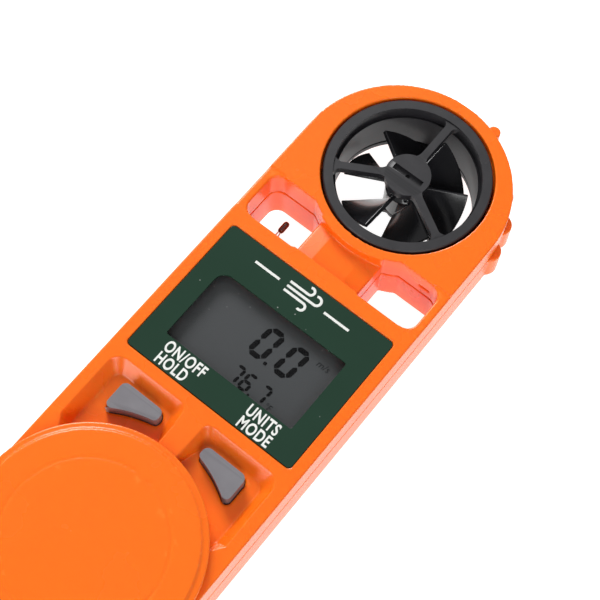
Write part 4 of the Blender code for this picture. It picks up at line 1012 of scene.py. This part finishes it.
def segmentLoops(shown, x, y, width, height, stroke, slant):
    # the bars of a seven-bar digit, each a long hexagon with a hair of space at its ends
    names = {"0": "abcdef", "6": "acdefg", "7": "abc"}[shown]
    gap, half = 0.09 * height / 7 + 0.04, stroke / 2
    mid = height / 2
    ends = {"a": ((0, height), (width, height)), "b": ((width, height), (width, mid)),
            "c": ((width, mid), (width, 0)), "d": ((0, 0), (width, 0)), "e": ((0, 0), (0, mid)),
            "f": ((0, mid), (0, height)), "g": ((0, mid), (width, mid))}
    loops = []
    for bar in names:
        (x0, y0), (x1, y1) = ends[bar]
        along = Vector((x1 - x0, y1 - y0)).normalized()
        across = Vector((-along.y, along.x)) * half
        start, stop = Vector((x0, y0)) + along * gap, Vector((x1, y1)) - along * gap
        corners = [start, start + along * half - across, stop - along * half - across, stop,
                   stop - along * half + across, start + along * half + across]
        loops.append([(x + c.x + slant * c.y, y + c.y) for c in corners])
    return loops


readingForm = {
    "slant": 0.12, "bigX": (-1.3, 4.5), "bigY": -1.8, "bigSize": (2.8, 6.0), "bigStroke": 1.02,
    "bigPoint": (2.35, -2.3, 3.0, -1.65, 0.1),
    "smallAt": (("7", -1.2), ("6", 1.5), ("7", 5.0)), "smallY": -8.45, "smallSize": (1.65, 3.3),
    "smallStroke": 0.58, "smallPoint": (3.85, -8.75, 4.25, -8.35, 0.08), "inkThick": 0.03,
    "units": (("unitSpeed", "m/s", 9.9, 3.6, 1.9), ("unitHeat", "°F", 7.5, -8.7, 1.7)), "unitSlant": 0.15}


def makeDisplay():
    form = readingForm
    low, high = reachOf("lcd_glass")
    glass = roundEdges(raised("lcdGlass", [softBox(low[0], low[1], high[0], high[1], 0.3)], low[2], high[2]),
                       0.15, 2, 50)
    give(smoothShade(glass), "meter", "lcd", paints["lcdGrey"], "lcd_glass")
    z = high[2] + 0.01
    loops = []
    for x in form["bigX"]:
        loops += segmentLoops("0", x, form["bigY"], *form["bigSize"], form["bigStroke"], form["slant"])
    loops.append(softBox(*form["bigPoint"]))
    for shown, x in form["smallAt"]:
        loops += segmentLoops(shown, x, form["smallY"], *form["smallSize"], form["smallStroke"],
                              form["slant"])
    loops.append(softBox(*form["smallPoint"]))
    for i, loop in enumerate(loops):
        give(raised("digitBar%02d" % i, [loop], z, z + form["inkThick"]), "meter", "lcd", paints["lcdInk"])
    for name, text, x, y, size in form["units"]:
        unit = lettering(name, text, x, y, size, z, slant=form["unitSlant"])
        give(unit, "meter", "lcd", paints["lcdFaint"])


panelTop = makePanel()
makePrint(panelTop)
makeDisplay()
print("display made")


# The probe, battery cap and screws.

probeForm = {"radius": 0.62, "length": 2.7, "endY": 22.1, "leadRadius": 0.14}


def makeProbe():
    x, _, z = middleOf("thermistor_bead")
    radius, length, endY = probeForm["radius"], probeForm["length"], probeForm["endY"]
    dome = [math.radians(angle) for angle in range(75, -1, -15)]
    profile = [(0, length)] + [(radius * math.cos(t), length - radius + radius * math.sin(t)) for t in dome]
    profile += [(radius, 0.45), (0.5, 0.12), (0.3, 0.0), (0, 0.0)]
    bead = turned("bead", 0, 0, profile, 32)
    bead.data.transform(Matrix.Translation((-panelSpot.x, -panelSpot.y, 0)))
    bead.data.transform(Matrix.Rotation(-math.pi / 2, 4, "X"))
    bead.data.transform(Matrix.Translation((panelSpot.x + x * mm, panelSpot.y + endY * mm, z * mm)))
    give(smoothShade(bead, 60), "meter", "dark_glass", paints["beadGlass"], "thermistor_bead")
    for side, node in ((-1, "thermistor_lead_left"), (1, "thermistor_lead_right")):
        path = [(x + side * 0.35, 14.0, 7.5), (x + side * 0.35, 17.5, 7.5), (x + side * 0.36, 19.2, 7.7),
                (x + side * 0.36, 20.6, 8.7), (x + side * 0.28, 21.5, 9.4), (x + side * 0.2, endY, 9.5)]
        lead = wire("probeLead" + ("Left" if side < 0 else "Right"), path, probeForm["leadRadius"])
        give(smoothShade(lead, 60), "meter", "tinned_wire", paints["tinnedWire"], node)


capForm = {"plug": 10.4, "flangeZ": 2.95, "slotHalf": 7.5, "slotRadius": 0.9, "slotDeep": 3.1,
           "notches": 36, "notchRadius": 0.34, "notchOut": 0.12, "notchDeep": 2.7, "voxel": 0.2}


def makeBatteryCap():
    form = capForm
    x, y, _ = middleOf("battery_cap")
    low, high = reachOf("battery_cap")
    outer, back, plug = (high[0] - low[0]) / 2, low[2], form["plug"]
    profile = [(0, high[2]), (plug, high[2]), (plug, form["flangeZ"]), (outer, form["flangeZ"]),
               (outer, back + 0.3), (outer - 0.3, back), (10.2, back), (10.0, back + 0.3),
               (9.6, back + 0.3), (9.4, back), (0, back)]
    cap = turned("batteryCap", x, y, profile, 128)
    half, radius, reach = form["slotHalf"], form["slotRadius"], outer + form["notchOut"]
    slot = arcPoints(-half, y, radius, 90, 270, 16) + arcPoints(half, y, radius, -90, 90, 16)
    cuts = [raised("coinSlot", [slot], 0, form["slotDeep"])]
    for i in range(form["notches"]):
        turn = math.tau * i / form["notches"]
        cuts.append(post("capNotch%02d" % i, x + reach * math.cos(turn), y + reach * math.sin(turn),
                         form["notchRadius"], 0, form["notchDeep"], 12))
    cap = soften(carve(cap, *cuts), form["voxel"], 2, 0.4)
    return give(cap, "cell_cap", "orange_shell", paints["orangePlastic"], "battery_cap")


screwForm = {"edgeRound": 0.06, "shank": 0.53, "cross": (1.25, 0.26), "crossDeep": 0.8,
             "slotHalf": 0.4, "slotDeep": 0.6}


def makeScrew(name, node, body, headZ, headHigh, drive):
    form = screwForm
    low, high = reachOf(node)
    x, y, _ = middleOf(node)
    radius = (high[0] - low[0]) / 2
    head = turned(name, x, y, [(0, headZ + headHigh), (radius, headZ + headHigh),
                               (radius, headZ + 0.35), (radius - 0.12, headZ + 0.12),
                               (radius - 0.5, headZ), (0, headZ)], 48)
    cuts = []
    if drive == "cross":
        for w, h in (form["cross"], form["cross"][::-1]):
            cuts.append(brick(name + "Drive%d" % (w * 10), x - w, y - h, headZ - 1,
                              x + w, y + h, headZ + form["crossDeep"]))
    else:
        cuts.append(brick(name + "Drive", x - radius * 2, y - form["slotHalf"], headZ - 1,
                          x + radius * 2, y + form["slotHalf"], headZ + form["slotDeep"]))
    head = carve(head, *cuts)
    shank = radius * form["shank"]
    head = carve(head, post(name + "Shank", x, y, shank, headZ + headHigh - 0.2, high[2], 24), mode="UNION")
    head = smoothShade(roundEdges(head, form["edgeRound"], 2, 40))
    return give(head, body, "steel", paints["platedSteel"], node)


makeProbe()
makeBatteryCap()
for i in range(1, 5):
    makeScrew("caseScrew%d" % i, "case_screw_%d" % i, "meter", 2.5, 1.5, "cross")
for i in (1, 2):
    makeScrew("sheathScrew%d" % i, "sheath_screw_%d" % i, "sheath", 0.3, 1.3, "slot")
makeScrew("pivotScrew", "pivot_screw", "sheath", 0.4, 1.6, "slot")
print("probe, cap and screws made")


# Finishes for the inner pieces, which keep their shape.

innerFinish = {
    "shell_gasket": "blackRubber", "lcd_holder": "whitePlastic", "zebra_strip_upper": "zebraRubber",
    "zebra_strip_lower": "zebraRubber", "circuit_board": "boardGreen", "controller_chip": "chipBlack",
    "timing_crystal": "platedSteel", "keypad_mat": "greyRubber", "pickup_coil": "copperWire",
    "pickup_lead_left": "redSleeve", "pickup_lead_right": "redSleeve", "probe_grommet": "blackRubber",
    "battery_cell": "platedSteel",
    "battery_contact_negative": "platedSteel", "battery_contact_positive": "platedSteel",
    "pivot_washer_front": "nylonWhite", "pivot_washer_rear": "nylonWhite", "jewel_front": "rubyJewel",
    "jewel_rear": "rubyJewel", "rotor_shaft": "platedSteel", "rotor_magnet": "magnetGrey",
    "battery_cap_seal": "blackRubber"}
for node, paint in innerFinish.items():
    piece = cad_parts[node]
    if not piece.material_slots:
        piece.data.materials.append(None)
    for slot in piece.material_slots:
        slot.material = paints[paint]
print("inner pieces finished:", len(innerFinish))


# Floor, light and camera.

studio = {
    "floorSize": 3.0, "floorColor": (0.38, 0.38, 0.38), "floorGlow": 0.98, "world": 0.34,
    "keyPower": 11.8, "keySize": 0.5, "keySpot": (-0.72, 0.62, 0.55),
    "fillPower": 4.0, "fillSize": 0.6, "fillSpot": (0.62, -0.45, 0.62),
    "lowPower": 3.2, "lowSize": 0.45, "lowSpot": (-0.22, -0.85, 0.30),
    "cameraSpot": (58.893, -28.239, 270.388), "cameraForward": (-0.21832, 0.31971, -0.92202),
    "cameraUp": (-0.58514, 0.71325, 0.38586), "lens": 90.2}


def makeStudio():
    mesh = bpy.data.meshes.new("floor")
    work = bmesh.new()
    bmesh.ops.create_grid(work, x_segments=1, y_segments=1, size=studio["floorSize"] / 2)
    work.to_mesh(mesh)
    work.free()
    floor = addPiece("floor", mesh)
    floor.location.z = -0.0002
    material = bpy.data.materials.new("paleFloor")
    material.use_nodes = True
    shader = material.node_tree.nodes["Principled BSDF"]
    shader.inputs["Base Color"].default_value = (*studio["floorColor"], 1)
    shader.inputs["Roughness"].default_value = 0.9
    shader.inputs["Emission Color"].default_value = (1, 1, 1, 1)
    shader.inputs["Emission Strength"].default_value = studio["floorGlow"]
    floor.data.materials.append(material)
    world = bpy.data.worlds.new("softRoom")
    bpy.context.scene.world = world
    world.use_nodes = True
    world.node_tree.nodes["Background"].inputs["Color"].default_value = (1, 1, 1, 1)
    world.node_tree.nodes["Background"].inputs["Strength"].default_value = studio["world"]


def addSoftLight(name, spot, size, power):
    light = bpy.data.lights.new(name, "AREA")
    light.shape = "DISK"
    light.size = size
    light.energy = power
    lamp = bpy.data.objects.new(name, light)
    bpy.context.scene.collection.objects.link(lamp)
    lamp.location = spot
    aim = Vector((0, 0.05, 0)) - Vector(spot)
    lamp.rotation_euler = aim.to_track_quat("-Z", "Y").to_euler()


def makeCamera():
    camera = bpy.data.objects.new("camera", bpy.data.cameras.new("camera"))
    bpy.context.scene.collection.objects.link(camera)
    forward, up = Vector(studio["cameraForward"]), Vector(studio["cameraUp"])
    right = forward.cross(up).normalized()
    up = right.cross(forward).normalized()
    turn = Matrix((right, up, -forward.normalized())).transposed().to_4x4()
    camera.matrix_world = Matrix.Translation(Vector(studio["cameraSpot"]) * mm) @ turn
    camera.data.lens = studio["lens"]
    camera.data.sensor_width = 36
    camera.data.clip_start = 0.01
    bpy.context.scene.camera = camera


makeStudio()
addSoftLight("keyLight", studio["keySpot"], studio["keySize"], studio["keyPower"])
addSoftLight("fillLight", studio["fillSpot"], studio["fillSize"], studio["fillPower"])
addSoftLight("lowLight", studio["lowSpot"], studio["lowSize"], studio["lowPower"])
makeCamera()
bpy.context.scene.view_settings.view_transform = "Standard"
print("studio made")
